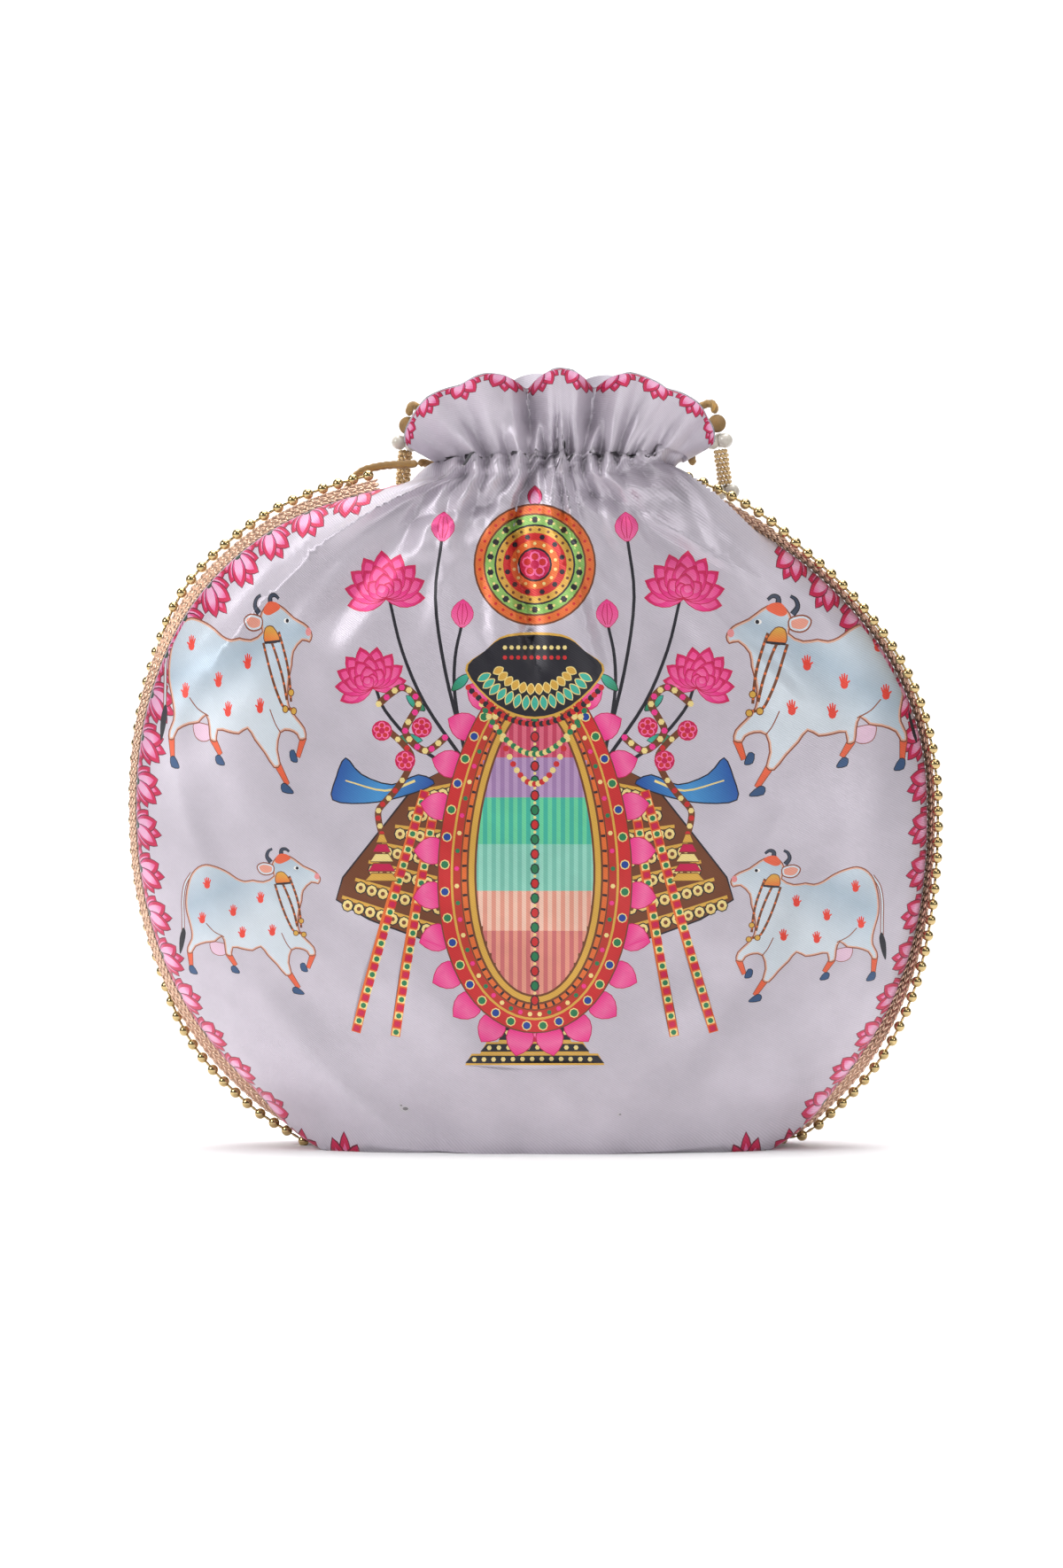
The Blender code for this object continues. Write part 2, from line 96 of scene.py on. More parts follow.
BALL_DIAMETER = 0.0028
CORD_DIAMETER = 0.0026
TRIM_END = 0.955

# Sections of the pouch from the bottom seam up to the neck, in these columns
COLUMNS = ("cloth", "seam", "belly", "neck", "tuck", "height", "lean")
SECTIONS = [
    (0, 0, 0, 0, 1, 0, 1.2), (0.022, 0.006, 0.17, 0, 0.9, 0, 1.2),
    (0.04, 0.014, 0.36, 0, 0.15, -0.035, 1.2), (0.055, 0.022, 0.5, 0, 0, -0.055, 1.1),
    (0.08, 0.04, 0.66, 0, 0, -0.052, 0.9), (0.11, 0.065, 0.79, 0, 0, 0.014, 0.8),
    (0.16, 0.115, 0.9, 0, 0, 0.073, 0.6), (0.23, 0.19, 0.97, 0, 0, 0.15, 0.4),
    (0.32, 0.29, 1, 0, 0, 0.25, 0.2), (0.43, 0.415, 1, 0, 0, 0.37, 0.05),
    (0.54, 0.54, 0.97, 0, 0, 0.49, 0), (0.65, 0.665, 0.89, 0, 0, 0.612, -0.2),
    (0.75, 0.775, 0.78, 0.03, 0, 0.725, -0.7), (0.84, 0.865, 0.61, 0.12, 0, 0.83, -1.2),
    (0.91, 0.925, 0.43, 0.32, 0, 0.91, -1.6), (0.96, 0.965, 0.22, 0.62, 0, 0.965, -1.2),
    (1, 1, 0, 1, 0, 1, 0),
]

# Gathers at the casing: where each ridge lies across the neck, how high it stands
# (shares of GATHER_HEIGHT) and how far down the cloth it runs.
GATHER_HEIGHT = 0.0050
FRONT_GATHERS = [
    (-1.05, 0.5, 0.1), (-0.86, 0.7, 0.1), (-0.68, 1.1, 0.13), (-0.5, 0.8, 0.06), (-0.32, 1.2, 0.05),
    (-0.17, 0.8, 0.06), (-0.07, 0.5, 0.04), (0.02, 1.3, 0.1), (0.13, 0.6, 0.05), (0.25, 1.2, 0.08),
    (0.4, 1.1, 0.07), (0.52, 0.7, 0.05), (0.64, 0.9, 0.08), (0.8, 0.9, 0.13), (1.02, 0.5, 0.1),
]
BACK_GATHERS = [
    (-0.96, 0.5, 0.08), (-0.79, 0.8, 0.12), (-0.63, 1, 0.08), (-0.5, 0.9, 0.1), (-0.37, 0.9, 0.06),
    (-0.25, 1, 0.12), (-0.13, 0.9, 0.07), (0, 1, 0.1), (0.12, 0.9, 0.06), (0.24, 1, 0.13),
    (0.36, 0.8, 0.07), (0.49, 1, 0.09), (0.63, 0.9, 0.06), (0.79, 0.8, 0.12), (0.96, 0.5, 0.08),
]

# Folds of the pouch: a ridge or hollow from one place (across, cloth) to another, its
# half width and height in millimetres, how far its crest leans to the right, and how
# crisp the crest is, from 0 to 1.
FRONT_FOLDS = [
    (0.01, 1, 0.06, 0.735, 6, -4.2, 0.5, 0.6), (0.12, 0.985, 0.15, 0.7, 9, 3.4, -0.5, 0.4),
    (-0.07, 0.97, -0.03, 0.74, 7, 1.8, 0.3, 0), (-0.56, 0.99, -0.66, 0.88, 10, 5.4, 0.5, 0.8),
    (-0.66, 0.885, -0.79, 0.69, 13, 5.4, 0.5, 0.9), (-0.4, 0.955, -0.56, 0.76, 11, -3.6, 0, 0),
    (-0.42, 0.918, -0.08, 0.935, 5.5, -2.6, 0.3, 0.5), (-0.36, 0.87, -0.08, 0.88, 6, 1.4, 0, 0),
    (0.4, 0.985, 0.76, 0.942, 6, 4, 0.3, 0.6), (0.28, 0.95, 0.7, 0.908, 6, -3.2, 0, 0.2),
    (0.6, 0.93, 0.84, 0.82, 9, 3.4, 0.3, 0.5), (0.58, 0.88, 0.78, 0.66, 10, -3.4, 0.3, 0),
    (0.86, 0.9, 0.93, 0.74, 9, 3, 0.2, 0.3), (0.36, 0.9, 0.44, 0.62, 12, -1.8, 0.3, 0),
    (-0.88, 0.8, -0.94, 0.6, 9, 2, 0, 0), (-0.8, 0.62, -0.64, 0.4, 14, -2.2, 0.3, 0),
    (-0.55, 0.32, -0.26, 0.1, 18, -3, 0.4, 0.2), (-0.3, 0.36, -0.1, 0.16, 14, 1.6, 0, 0),
    (0.76, 0.52, 0.42, 0.18, 18, -2.8, 0.3, 0.2), (0.9, 0.55, 0.7, 0.25, 12, 1.6, 0, 0),
    (0.3, 0.3, 0.16, 0.12, 13, 1.4, 0, 0), (-0.1, 0.1, -0.02, 0.05, 7, -1.2, 0, 0),
    (0.22, 0.1, 0.28, 0.05, 7, -1.2, 0, 0), (-0.32, 0.1, -0.38, 0.05, 7, -1.1, 0, 0),
]
BACK_FOLDS = [
    (-0.1, 1, -0.2, 0.72, 6, -3.4, 0.3, 0.4), (0.2, 0.98, 0.3, 0.74, 8, 2.8, 0.3, 0.2),
    (-0.5, 0.99, -0.76, 0.72, 11, 4.2, 0.3, 0.6), (-0.34, 0.96, -0.52, 0.76, 9, -2.6, 0, 0),
    (0.55, 0.98, 0.8, 0.74, 11, 4, -0.3, 0.6), (0.42, 0.94, 0.6, 0.76, 9, -2.4, 0, 0),
    (0.44, 0.4, 0.62, 0.14, 17, -2.2, 0.3, 0), (-0.66, 0.42, -0.5, 0.16, 17, -2, 0.3, 0),
]

# The frill's deep valleys, from the casing to the rim: place, half width and depth
VALLEY_DEPTH = 0.0100
FRONT_VALLEYS = [
    (-0.19, 0.085, 1), (0.2, 0.08, 0.95), (-0.52, 0.1, 0.3), (0.56, 0.1, 0.34), (0.84, 0.09, 0.2),
    (-0.84, 0.1, 0.22),
]
BACK_VALLEYS = [
    (-0.34, 0.09, 0.9), (0.07, 0.09, 0.85), (0.45, 0.09, 0.7), (-0.7, 0.1, 0.3), (0.8, 0.1, 0.35),
]

# Pleats that run all the way up the front frill: where each lies across it, its half
# width, and its height in millimetres
FRILL_PLEATS = [
    (-0.9, 0.1, 1.2), (-0.72, 0.1, 1.9), (-0.6, 0.07, -1.3), (-0.46, 0.1, 2.6), (-0.33, 0.05, -0.9),
    (-0.08, 0.07, 1.6), (0.02, 0.05, -1.2), (0.09, 0.05, 1.4), (0.32, 0.06, 1.8), (0.41, 0.06, -1.7),
    (0.52, 0.08, 2.3), (0.64, 0.06, -1.4), (0.76, 0.09, 1.9), (0.92, 0.08, 1),
]

FRONT_RELIEF = (FRONT_GATHERS, FRONT_FOLDS, FRONT_VALLEYS, FRILL_PLEATS)
BACK_RELIEF = (BACK_GATHERS, BACK_FOLDS, BACK_VALLEYS, [])

# The casing's pinch and the puff of cloth below it
PINCH_DEPTH = 0.0010
PUFF_HEIGHT = 0.0007

# How far the front's right shoulder rolls out over the trim, and its way
ROLL_REACH = 0.0066
ROLL_SIDEWAYS = 0.53
ROLL_UPWARD = 0.85

# How the tape turns along the seam, as (share, degrees): 0 lies in the panel's plane and
# 90 leans back. The balls tuck under further at the lower left.
TAPE_TWIST = [
    (0, 30), (0.1, 25), (0.2, 60), (0.28, 52), (0.34, 18), (0.38, 20), (0.42, 40), (0.5, 72),
    (0.58, 52), (0.62, 42), (0.66, 14), (0.7, -30), (0.76, -60), (0.88, -66), (0.93, -62), (0.96, -20),
    (1, 35),
]
BALL_TUCK = math.radians(70)

# Stitches of the braid, (length, width, thickness), and their rows: how far out each
# runs as a share of the tape's width, and how many degrees its stitches slant
STITCH = (0.0031, 0.0010, 0.0012)
STITCH_PITCH = 0.0023
BRAID_ROWS = [(-0.12, 18), (0.17, -18), (0.46, 18), (0.75, -18)]

# The ball edging, and (length, width, thickness) of the links between its balls
BALL_PITCH = 0.0047
PLATING = 0.0003
LINK = (0.0030, 0.0009, 0.0009)

# The tassels' beads
WRAPPED_BALL = 0.0056
PEARL = 0.0046
BARREL_LENGTH = 0.011
BARREL_DIAMETER = 0.0048
BARREL_WAIST = 0.0041
END_BEAD = 0.0042
BARREL_RINGS = 8
RING_BEADS = 9
SEED_BEAD = (0.00125, 0.0013, 0.00135)
SEED_INSET = 0.0006

# The thread wound on the balls: rows from pole to pole, threads round it, their depth
WOUND_ROWS, WOUND_SIDES = 24, 72
WOUND_DEPTH = 0.035

# The cords' strands: how many, the length of one twist, how deep the grooves between
# them are and over what length the ends close; and the cords' sides and point spacing
CORD_STRANDS = 3
CORD_TWIST = 0.0065
GROOVE_DEPTH = 0.20
CORD_END = 0.0008
CORD_SIDES = 18
CORD_SPACING = 0.0006

# The cords' routes, point for point as in the part's source
HANDLE_ROUTE = [
    (-0.0348, 0.0042, 0.209), (-0.0405, 0.005, 0.2088), (-0.047, 0.0064, 0.2082),
    (-0.053, 0.0088, 0.2062), (-0.0572, 0.0138, 0.2005), (-0.0604, 0.0165, 0.1915),
    (-0.061, 0.0235, 0.1746), (-0.0592, 0.0273, 0.1544), (-0.0543, 0.0309, 0.1333),
    (-0.0453, 0.0339, 0.1173), (-0.0342, 0.0353, 0.1123), (-0.0241, 0.035, 0.1193),
    (-0.0193, 0.0324, 0.1375), (-0.0185, 0.0285, 0.1576), (-0.0192, 0.0238, 0.1765),
    (-0.022, 0.0224, 0.1928), (-0.0262, 0.0198, 0.2048), (-0.0312, 0.0148, 0.2088),
    (-0.0344, 0.0098, 0.2096),
]
LEFT_TASSEL_ROUTE = [
    (-0.0297, 0.0082, 0.2099), (-0.03, 0.0112, 0.212), (-0.0304, 0.0152, 0.2148),
    (-0.0312, 0.0184, 0.2188), (-0.0328, 0.0198, 0.2236), (-0.0353, 0.019, 0.2268),
    (-0.0372, 0.016, 0.227), (-0.0378, 0.0154, 0.224),
]
RIGHT_TASSEL_ROUTE = [
    (0.0494, 0.0047, 0.209), (0.0492, 0.0066, 0.2105), (0.0488, 0.0108, 0.2138),
    (0.0488, 0.0142, 0.218), (0.0497, 0.016, 0.2228), (0.0522, 0.015, 0.2268), (0.0556, 0.0124, 0.2276),
    (0.0566, 0.0118, 0.2246),
]

# The photograph's framing in pixels, with the size that a pixel has at the pouch, and
# the camera's place
PIXEL = 0.00027
FRAME_WIDTH, FRAME_HEIGHT = 1200, 1770
POUCH_MIDDLE_COLUMN = 600
FLOOR_ROW = 1297
CAMERA_DISTANCE = 1.8
CAMERA_RISE = math.radians(1.8)
CAMERA_TARGET_DEPTH = -0.008

# How far apart the points of the printed cloth and of its lining lie
PRINT_STEP = 0.0021
LINING_STEP = 0.0040

# Where the cloth starts to be gathered, and the shares of those steps, up and across it
GATHERED_FROM = 0.86
GATHERED_RISE = 0.55
GATHERED_WIDTH = 0.75


# The cloth's surface


def smooth_step(value):
    """0 below 0, 1 above 1, and an even turn between them."""
    value = np.clip(value, 0.0, 1.0)
    return value * value * (3 - 2 * value)


def hump(value):
    """A rounded ridge from -1 to 1, 1 high in the middle."""
    return np.where(np.abs(value) < 1, np.cos(value * math.pi / 2) ** 2, 0.0)


def smooth_table(rows, count=1601):
    """A table's rows read off finely, on a curve that never overshoots them."""
    rows = np.array(rows, float)
    places = rows[:, 0]
    steps = np.diff(places)
    rises = np.diff(rows, axis=0) / steps[:, None]
    product = rises[:-1] * rises[1:]
    total = rises[:-1] + rises[1:]
    inner = np.where(product > 0, 2 * product / np.where(total == 0, 1, total), 0.0)
    slopes = np.vstack([rises[:1], inner, rises[-1:]])
    at = np.linspace(places[0], places[-1], count)
    i = np.clip(np.searchsorted(places, at, side="right") - 1, 0, len(steps) - 1)
    t = ((at - places[i]) / steps[i])[:, None]
    step = steps[i][:, None]
    return at, (
        rows[i] * (1 + 2 * t) * (1 - t) ** 2
        + rows[i + 1] * t * t * (3 - 2 * t)
        + slopes[i] * step * t * (1 - t) ** 2
        - slopes[i + 1] * step * t * t * (1 - t)
    )


CLOTH_AT, CLOTH_ROWS = smooth_table(SECTIONS)
TWIST_AT, TWIST_ROWS = smooth_table(TAPE_TWIST)


def section_column(name, cloth):
    """One column of the section table, read at these places on the cloth."""
    return np.interp(cloth, CLOTH_AT, CLOTH_ROWS[:, COLUMNS.index(name)])


def swell(across):
    """How full the pouch is across a section: 1 in the middle and 0 at the seams."""
    return (1 - np.minimum(np.abs(across), 1.0) ** SWELL_POWER) ** SWELL_EASE


def crosswise(across):
    """Share of the half width that a place on the cloth has, seen from the front."""
    bend = CROSSWISE_BEND * math.pi / 2
    return np.sin(bend * across) / math.sin(bend)


def seam_line(cloth):
    """(middle, half width, height) of the seam at these places on the cloth."""
    rise = NECK_HEIGHT - NECK_SIDE_DROP - TUCK
    height = TUCK + section_column("seam", cloth) * rise
    upper = height > WIDEST_HEIGHT
    reach = np.where(upper, SEAM_RISE, SEAM_DROP)
    power = np.where(upper, SHOULDER_POWER, BASE_POWER)
    share = np.minimum(np.abs(height - WIDEST_HEIGHT) / reach, 1.0)
    curve = SEAM_HALF_WIDTH * (1 - share**power) ** (1 / power)
    foot = NECK_HEIGHT - NECK_SIDE_DROP - CASING_HEIGHT
    closing = smooth_step((height - foot) / CASING_HEIGHT)
    half = np.maximum(curve, NECK_HALF_WIDTH) * (1 - closing)
    half = half + NECK_HALF_WIDTH * closing
    middle = LEAN * section_column("lean", cloth)
    middle = middle + NECK_SHIFT * section_column("neck", cloth)
    return middle, half, height


def fold_rise(folds, across, cloth):
    """Height of the soft folds at these places on the panel."""
    rise = np.zeros_like(across)
    panel = np.array((0.100, 0.235))
    for across_a, cloth_a, across_b, cloth_b, half_width, height, lean, crisp in folds:
        start = np.array((across_a, cloth_a)) * panel
        way = np.array((across_b, cloth_b)) * panel - start
        length = np.hypot(*way)
        way = way / length
        dx, dz = across * panel[0] - start[0], cloth * panel[1] - start[1]
        along = (dx * way[0] + dz * way[1]) / length
        beside = (dx * -way[1] + dz * way[0]) / (half_width * MM)
        beside = beside + lean * (1 - np.minimum(beside * beside, 1.0))
        ends = smooth_step(along / 0.3 + 0.5) * smooth_step((1 - along) / 0.4 + 0.5)
        crest = (1 - np.minimum(np.abs(beside), 1.0)) ** 1.4
        crest = crest * crisp + hump(beside) * (1 - crisp)
        rise += height * MM * crest * ends
    return rise


def gather_rise(gathers, x, half, cloth, up):
    """Height of the gathers. They start side by side at the casing, spread a little on
    their way down and die out down the cloth and up the frill."""
    spread = 1 + 0.45 * (half / NECK_HALF_WIDTH - 1)
    beside = (x / spread - NECK_SHIFT) / NECK_HALF_WIDTH
    places, heights, reaches = np.array(gathers).T
    count = np.interp(beside, places, np.arange(len(gathers)))
    ridge = (0.5 + 0.5 * np.cos(2 * math.pi * count)) ** 0.75
    ridge = ridge * smooth_step((1.35 - np.abs(beside)) / 0.3)
    height = np.interp(beside, places, heights)
    down = np.exp(-(((1 - cloth) / np.interp(beside, places, reaches)) ** 1.6))
    return GATHER_HEIGHT * height * ridge * down * np.exp(-((up / 0.40) ** 2))


def valley_share(valleys, across):
    """How deep a place on the frill lies in one of its valleys, from 0 to 1."""
    share = np.zeros_like(across)
    for place, half_width, depth in valleys:
        away = np.abs(across - place) / half_width
        share = np.maximum(share, depth * np.exp(-(away**1.25)))
    return share


def shoulder_roll(across, cloth, frill):
    """How far the front's right shoulder rolls out over the trim."""
    roll = hump((cloth - 0.955) / 0.125) * (1 - smooth_step(frill / 0.25))
    roll = roll * smooth_step((across - 0.55) / 0.37)
    return ROLL_REACH * roll * (1 - smooth_step((across - 0.955) / 0.045))


def cloth_points(side, across, up, relief=True):
    """Points on the outside of a panel: side is -1 for the front and 1 for the back, and
    up is 0 at the bottom seam, 1 at the neck and 2 at the frill's rim."""
    across, up = np.clip(np.asarray(across, float), -1, 1), np.asarray(up, float)
    cloth, frill = np.clip(up, 0, 1), np.clip(up - 1, 0, 1)
    gathers, folds, valleys, pleats = FRONT_RELIEF if side < 0 else BACK_RELIEF
    middle, half, seam = seam_line(cloth)
    full = swell(across)
    depth = BELLY_DEPTH * section_column("belly", cloth)
    depth = depth + NECK_DEPTH * section_column("neck", cloth)
    height = TUCK * section_column("tuck", cloth)
    height = height + NECK_HEIGHT * section_column("height", cloth)
    x = middle + half * crosswise(across)
    loop = 0.0
    if relief:
        rise = (fold_rise(folds, across, cloth) + ripple(side, across, cloth)) * (1 - frill)
        gather = gather_rise(gathers, x, half, cloth, frill)
        loop = 0.55 * gather * np.exp(-(((up - 0.985) / 0.020) ** 2))
        wander = 0.010 * np.sin(9 * across + 1) + 0.008 * np.sin(23 * across)
        above = up - 1.0 - wander
        pinch = smooth_step(above / 0.05 + 0.5) * (1 - smooth_step(above / 0.40))
        puff = hump((up - 0.972) / 0.040)
        depth = depth + rise + gather - PINCH_DEPTH * pinch + PUFF_HEIGHT * puff
        for place, half_width, pleat_height in pleats:
            crest = hump((across - place - 0.02 * frill) / half_width)
            depth = depth + pleat_height * MM * crest * smooth_step(frill / 0.5)
    y = depth * full
    z = np.maximum(seam + (height - seam) * full, 0.0) + loop
    if side < 0:
        roll = shoulder_roll(across, cloth, frill)
        x, z = x + ROLL_SIDEWAYS * roll, z + ROLL_UPWARD * roll
    valley = valley_share(valleys, across)
    tall = FRILL_CORNER + (FRILL_HEIGHT - FRILL_CORNER) * (1 - np.abs(across) ** 3.5)
    tall = tall - LOBE_DIP * valley * full
    turn = FRILL_SPREAD * np.sign(across) * np.abs(across) ** 1.4
    flare = FRILL_FLARE * (1.30 - 0.45 * valley) * frill**1.3
    sink = VALLEY_DEPTH * valley * full * smooth_step(frill / 0.55)
    x = x + tall * frill * np.sin(turn)
    z = z + tall * frill * np.cos(turn)
    y = side * (SEAM_GAP / 2 + WALL + np.maximum(y + flare - sink * relief, 0.0))
    return np.stack([x, y, z], axis=-1)


def ripple(side, across, cloth):
    """Small soft unevenness of the satin, steeper towards the neck."""
    x, z = across * 11.0 + side, cloth * 22.0
    waves = (
        np.sin(1.3 * x + 0.7 * np.sin(0.9 * z) + 0.4)
        + np.sin(0.8 * z - 1.1 * x + 1.9 * np.sin(0.37 * x))
        + 0.6 * np.sin(2.3 * z + 1.7 * x + 0.8)
        + 0.5 * np.sin(3.1 * x - 1.6 * z + 2.1)
    )
    slant = across * 26.0 + cloth * 34.0
    fine = np.sin(slant + 2.1 * np.sin(0.6 * z + 0.4 * x)) * np.sin(0.9 * z - 0.5 * x)
    fine = fine + 0.7 * np.sin(1.9 * slant - 1.4 * np.sin(0.9 * x + z))
    return (0.00042 * waves + 0.00014 * fine) * (
        0.8 + 1.1 * smooth_step((cloth - 0.6) / 0.35)
    )


def cloth_normals(side, across, up):
    """Outward directions of the cloth's surface."""
    step = 0.0015
    wider = cloth_points(side, np.minimum(across + step, 1), up)
    narrower = cloth_points(side, np.maximum(across - step, -1), up)
    higher = cloth_points(side, across, np.minimum(up + step, 2))
    lower = cloth_points(side, across, np.maximum(up - step, 0))
    normals = np.cross(wider - narrower, higher - lower) * -side
    length = np.linalg.norm(normals, axis=-1, keepdims=True)
    flat = length[..., 0] < 1e-12
    normals = normals / np.maximum(length, 1e-12)
    normals[flat] = (0, side, 0)
    return normals


# The flat cloth, on which the print is laid out

FLAT_LENGTH = 0.245
FRILL_LENGTH = 0.030
EDGE_ROOM = 0.0002
SLACK = 0.0014


def flat_half(up):
    """Half width of the flat cloth at these heights."""
    _, half, _ = seam_line(np.clip(up, 0, 1))
    return np.maximum(half, 0.050) + 0.006 * np.clip(np.asarray(up) - 1, 0, 1)


def flat_from_cloth(across, up):
    """Flat (x, z) of places on the cloth."""
    up = np.asarray(up, float)
    z = np.where(up <= 1, up * FLAT_LENGTH, FLAT_LENGTH + (up - 1) * FRILL_LENGTH)
    return np.stack([np.asarray(across) * flat_half(up), z], axis=-1)


def cloth_from_flat(flat):
    """(across, up) of places on the flat cloth."""
    z = flat[:, 1]
    up = np.where(z <= FLAT_LENGTH, z / FLAT_LENGTH, 1 + (z - FLAT_LENGTH) / FRILL_LENGTH)
    up = np.clip(up, 0, 2)
    return np.clip(flat[:, 0] / flat_half(up), -1, 1), up


def flat_from_front(points):
    """Flat places of points given as they are seen from the front, (x, z) in metres."""
    points = np.asarray(points, float)
    up = np.clip(points[:, 1] / NECK_HEIGHT, 0.05, 0.98)
    across = np.zeros(len(points))
    for _ in range(30):
        at = cloth_points(-1, across, up, relief=False)
        wide = cloth_points(-1, across + 0.01, up, relief=False)
        tall = cloth_points(-1, across, up + 0.01, relief=False)
        a, c = (wide - at)[:, 0] / 0.01, (wide - at)[:, 2] / 0.01
        b, d = (tall - at)[:, 0] / 0.01, (tall - at)[:, 2] / 0.01
        dx, dz = points[:, 0] - at[:, 0], points[:, 1] - at[:, 2]
        det = a * d - b * c
        det = np.where(np.abs(det) < 1e-4, 1e-4, det)
        across = np.clip(across + np.clip((d * dx - b * dz) / det, -0.2, 0.2), -0.99, 0.99)
        up = np.clip(up + np.clip((a * dz - c * dx) / det, -0.1, 0.1), 0.10, 1.0)
    return flat_from_cloth(across, up)


# Drawing: every shape is an outline with one colour, or colours that run from its
# start to its end

Shape = namedtuple("Shape", "outline colours start end")


def dye(red, green, blue):
    """A colour given as it looks on a screen, from 0 to 255, as the shader wants it."""
    return tuple((part / 255) ** 2.2 for part in (red, green, blue))


SATIN_WHITE = dye(198, 190, 201)
CRIMSON = dye(198, 16, 76)
PETAL_PINK = dye(226, 88, 150)
PETAL_PALE = dye(236, 172, 206)
PETAL_LINE = dye(106, 8, 46)
LEAF_DARK = dye(34, 72, 58)
HOT_PINK = dye(238, 52, 138)
SOFT_PINK = dye(244, 108, 164)
PETAL_BLUSH = dye(252, 190, 214)
RED = dye(204, 42, 44)
ORANGE = dye(226, 108, 48)
GOLD = dye(216, 166, 70)
PALE_GOLD = dye(238, 214, 138)
BROWN = dye(112, 62, 34)
INK = dye(30, 28, 38)
GREEN = dye(36, 122, 78)
LIME = dye(140, 186, 96)
TEAL = dye(64, 178, 156)
AQUA = dye(150, 214, 194)
MAUVE = dye(186, 152, 192)
SALMON = dye(228, 152, 132)
BLUE = dye(28, 66, 150)
SKY = dye(72, 148, 208)
HIDE_PALE = dye(208, 216, 224)
HIDE_GREY = dye(174, 190, 204)
HIDE_LINE = dye(138, 74, 50)
PEACH = dye(222, 172, 150)
HORN = dye(58, 66, 84)
LEG_RED = dye(228, 96, 62)
HOOF = dye(52, 82, 122)
HAND_RED = dye(230, 66, 50)


def shape(outline, *colours, start=(0, 0), end=(0, 1)):
    """One drawn shape."""
    return Shape(*(np.array(v, float) for v in (outline, colours, start, end)))


def painted(drawn, points):
    """The colours of a shape at these points."""
    way = drawn.end - drawn.start
    share = np.clip((points - drawn.start) @ way / (way @ way), 0, 1)
    stops = np.linspace(0, 1, len(drawn.colours))
    return np.stack([np.interp(share, stops, drawn.colours[:, k]) for k in range(3)], -1)


def moved(shapes, place, scale=(1.0, 1.0), turn=0.0):
    """Shapes scaled, turned and set down in another place."""
    cos, sin = math.cos(turn), math.sin(turn)

    def there(points):
        x, z = points[..., 0] * scale[0], points[..., 1] * scale[1]
        return np.stack([place[0] + x * cos - z * sin, place[1] + x * sin + z * cos], -1)

    return [Shape(there(o), c, there(a), there(b)) for o, c, a, b in shapes]


def both_sides(shapes):
    """Shapes and their mirror image to the left."""
    return [*shapes, *moved(shapes, (0, 0), (-1, 1))]


def curve_between(a, b, c, d, steps):
    """Points on the smooth curve from each b to each c, past each a and d."""
    a, b, c, d = (points[:, None] for points in (a, b, c, d))
    t = (np.arange(steps) / steps)[None, :, None]
    bent = 2 * b + (c - a) * t + (2 * a - 5 * b + 4 * c - d) * t * t
    bent = (bent + (3 * b - a - 3 * c + d) * t**3) / 2
    return bent.reshape(-1, bent.shape[-1])


def rounded(points, steps=3):
    """A closed outline that bends smoothly through its points."""
    points = np.array(points, float)
    return curve_between(*(np.roll(points, k, axis=0) for k in (1, 0, -1, -2)), steps)


def bent_line(points, steps=4):
    """An open line that bends smoothly through its points."""
    points = np.array(points, float)
    ends = np.vstack([2 * points[0] - points[1], points, 2 * points[-1] - points[-2]])
    bent = curve_between(*(ends[k : len(ends) - 3 + k] for k in range(4)), steps)
    return np.vstack([bent, points[-1]])


def band(points, width, end_width=None, steps=4):
    """The outline of a drawn line, which may get wider or narrower to its end."""
    line = bent_line(points, steps)
    way = unit(np.gradient(line, axis=0))
    side = np.stack([-way[:, 1], way[:, 0]], -1)
    last = width if end_width is None else end_width
    half = np.linspace(width, last, len(line))[:, None] / 2
    return np.vstack([line + side * half, (line - side * half)[::-1]])


def oval(centre, half_width, half_height=None, sides=10, start=0.0):
    """A round or oval outline, or as many places round an oval."""
    turn = np.linspace(0, 2 * math.pi, sides, endpoint=False) + start
    high = half_width if half_height is None else half_height
    return np.stack(
        [centre[0] + half_width * np.cos(turn), centre[1] + high * np.sin(turn)], -1
    )


def unit(ways):
    """The same ways, each with a length of 1."""
    return ways / np.linalg.norm(ways, axis=-1, keepdims=True)


def run_lengths(line):
    """How far along a line each of its points lies."""
    return np.r_[0, np.cumsum(np.linalg.norm(np.diff(line, axis=0), axis=1))]


def along_line(line, lengths, places):
    """Points at these distances along a line."""
    return np.stack([np.interp(places, lengths, column) for column in line.T], -1)


def heading(degrees):
    """The way that lies this far to the right of straight up."""
    turn = math.radians(degrees)
    return np.array((math.sin(turn), math.cos(turn)))


def dots(places, size, colours, sides=6):
    """Round dots at these places, their colours by turns."""
    outlines = (oval(place, size, sides=sides) for place in places)
    return [shape(o, colours[k % len(colours)]) for k, o in enumerate(outlines)]


def inset(outline, by):
    """An outline drawn in by a distance, square to its own edge."""
    ahead = np.roll(outline, -1, axis=0) - np.roll(outline, 1, axis=0)
    ahead /= np.maximum(np.linalg.norm(ahead, axis=1, keepdims=True), 1e-9)
    following = np.roll(outline, -1, axis=0)
    area = np.sum(outline[:, 0] * following[:, 1] - following[:, 0] * outline[:, 1])
    return outline + np.stack([-ahead[:, 1], ahead[:, 0]], -1) * by * np.sign(area)


def lined(outline, line, line_colour, *colours, **ends):
    """A filled shape with a drawn line round it."""
    return [shape(outline, line_colour), shape(inset(outline, line), *colours, **ends)]


PETAL_PROFILE = [
    (0, 0.2), (0.16, 0.66), (0.36, 0.97), (0.54, 1), (0.72, 0.82), (0.87, 0.48), (1, 0),
]


def petal_outline(base, way, length, width):
    """The outline of a pointed petal."""
    side = np.array((-way[1], way[0]))
    share, wide = np.array(PETAL_PROFILE).T[..., None]
    middle = base + way * length * share
    right, left = middle + side * wide * width / 2, middle - side * wide * width / 2
    return np.vstack([right, left[-2::-1]])


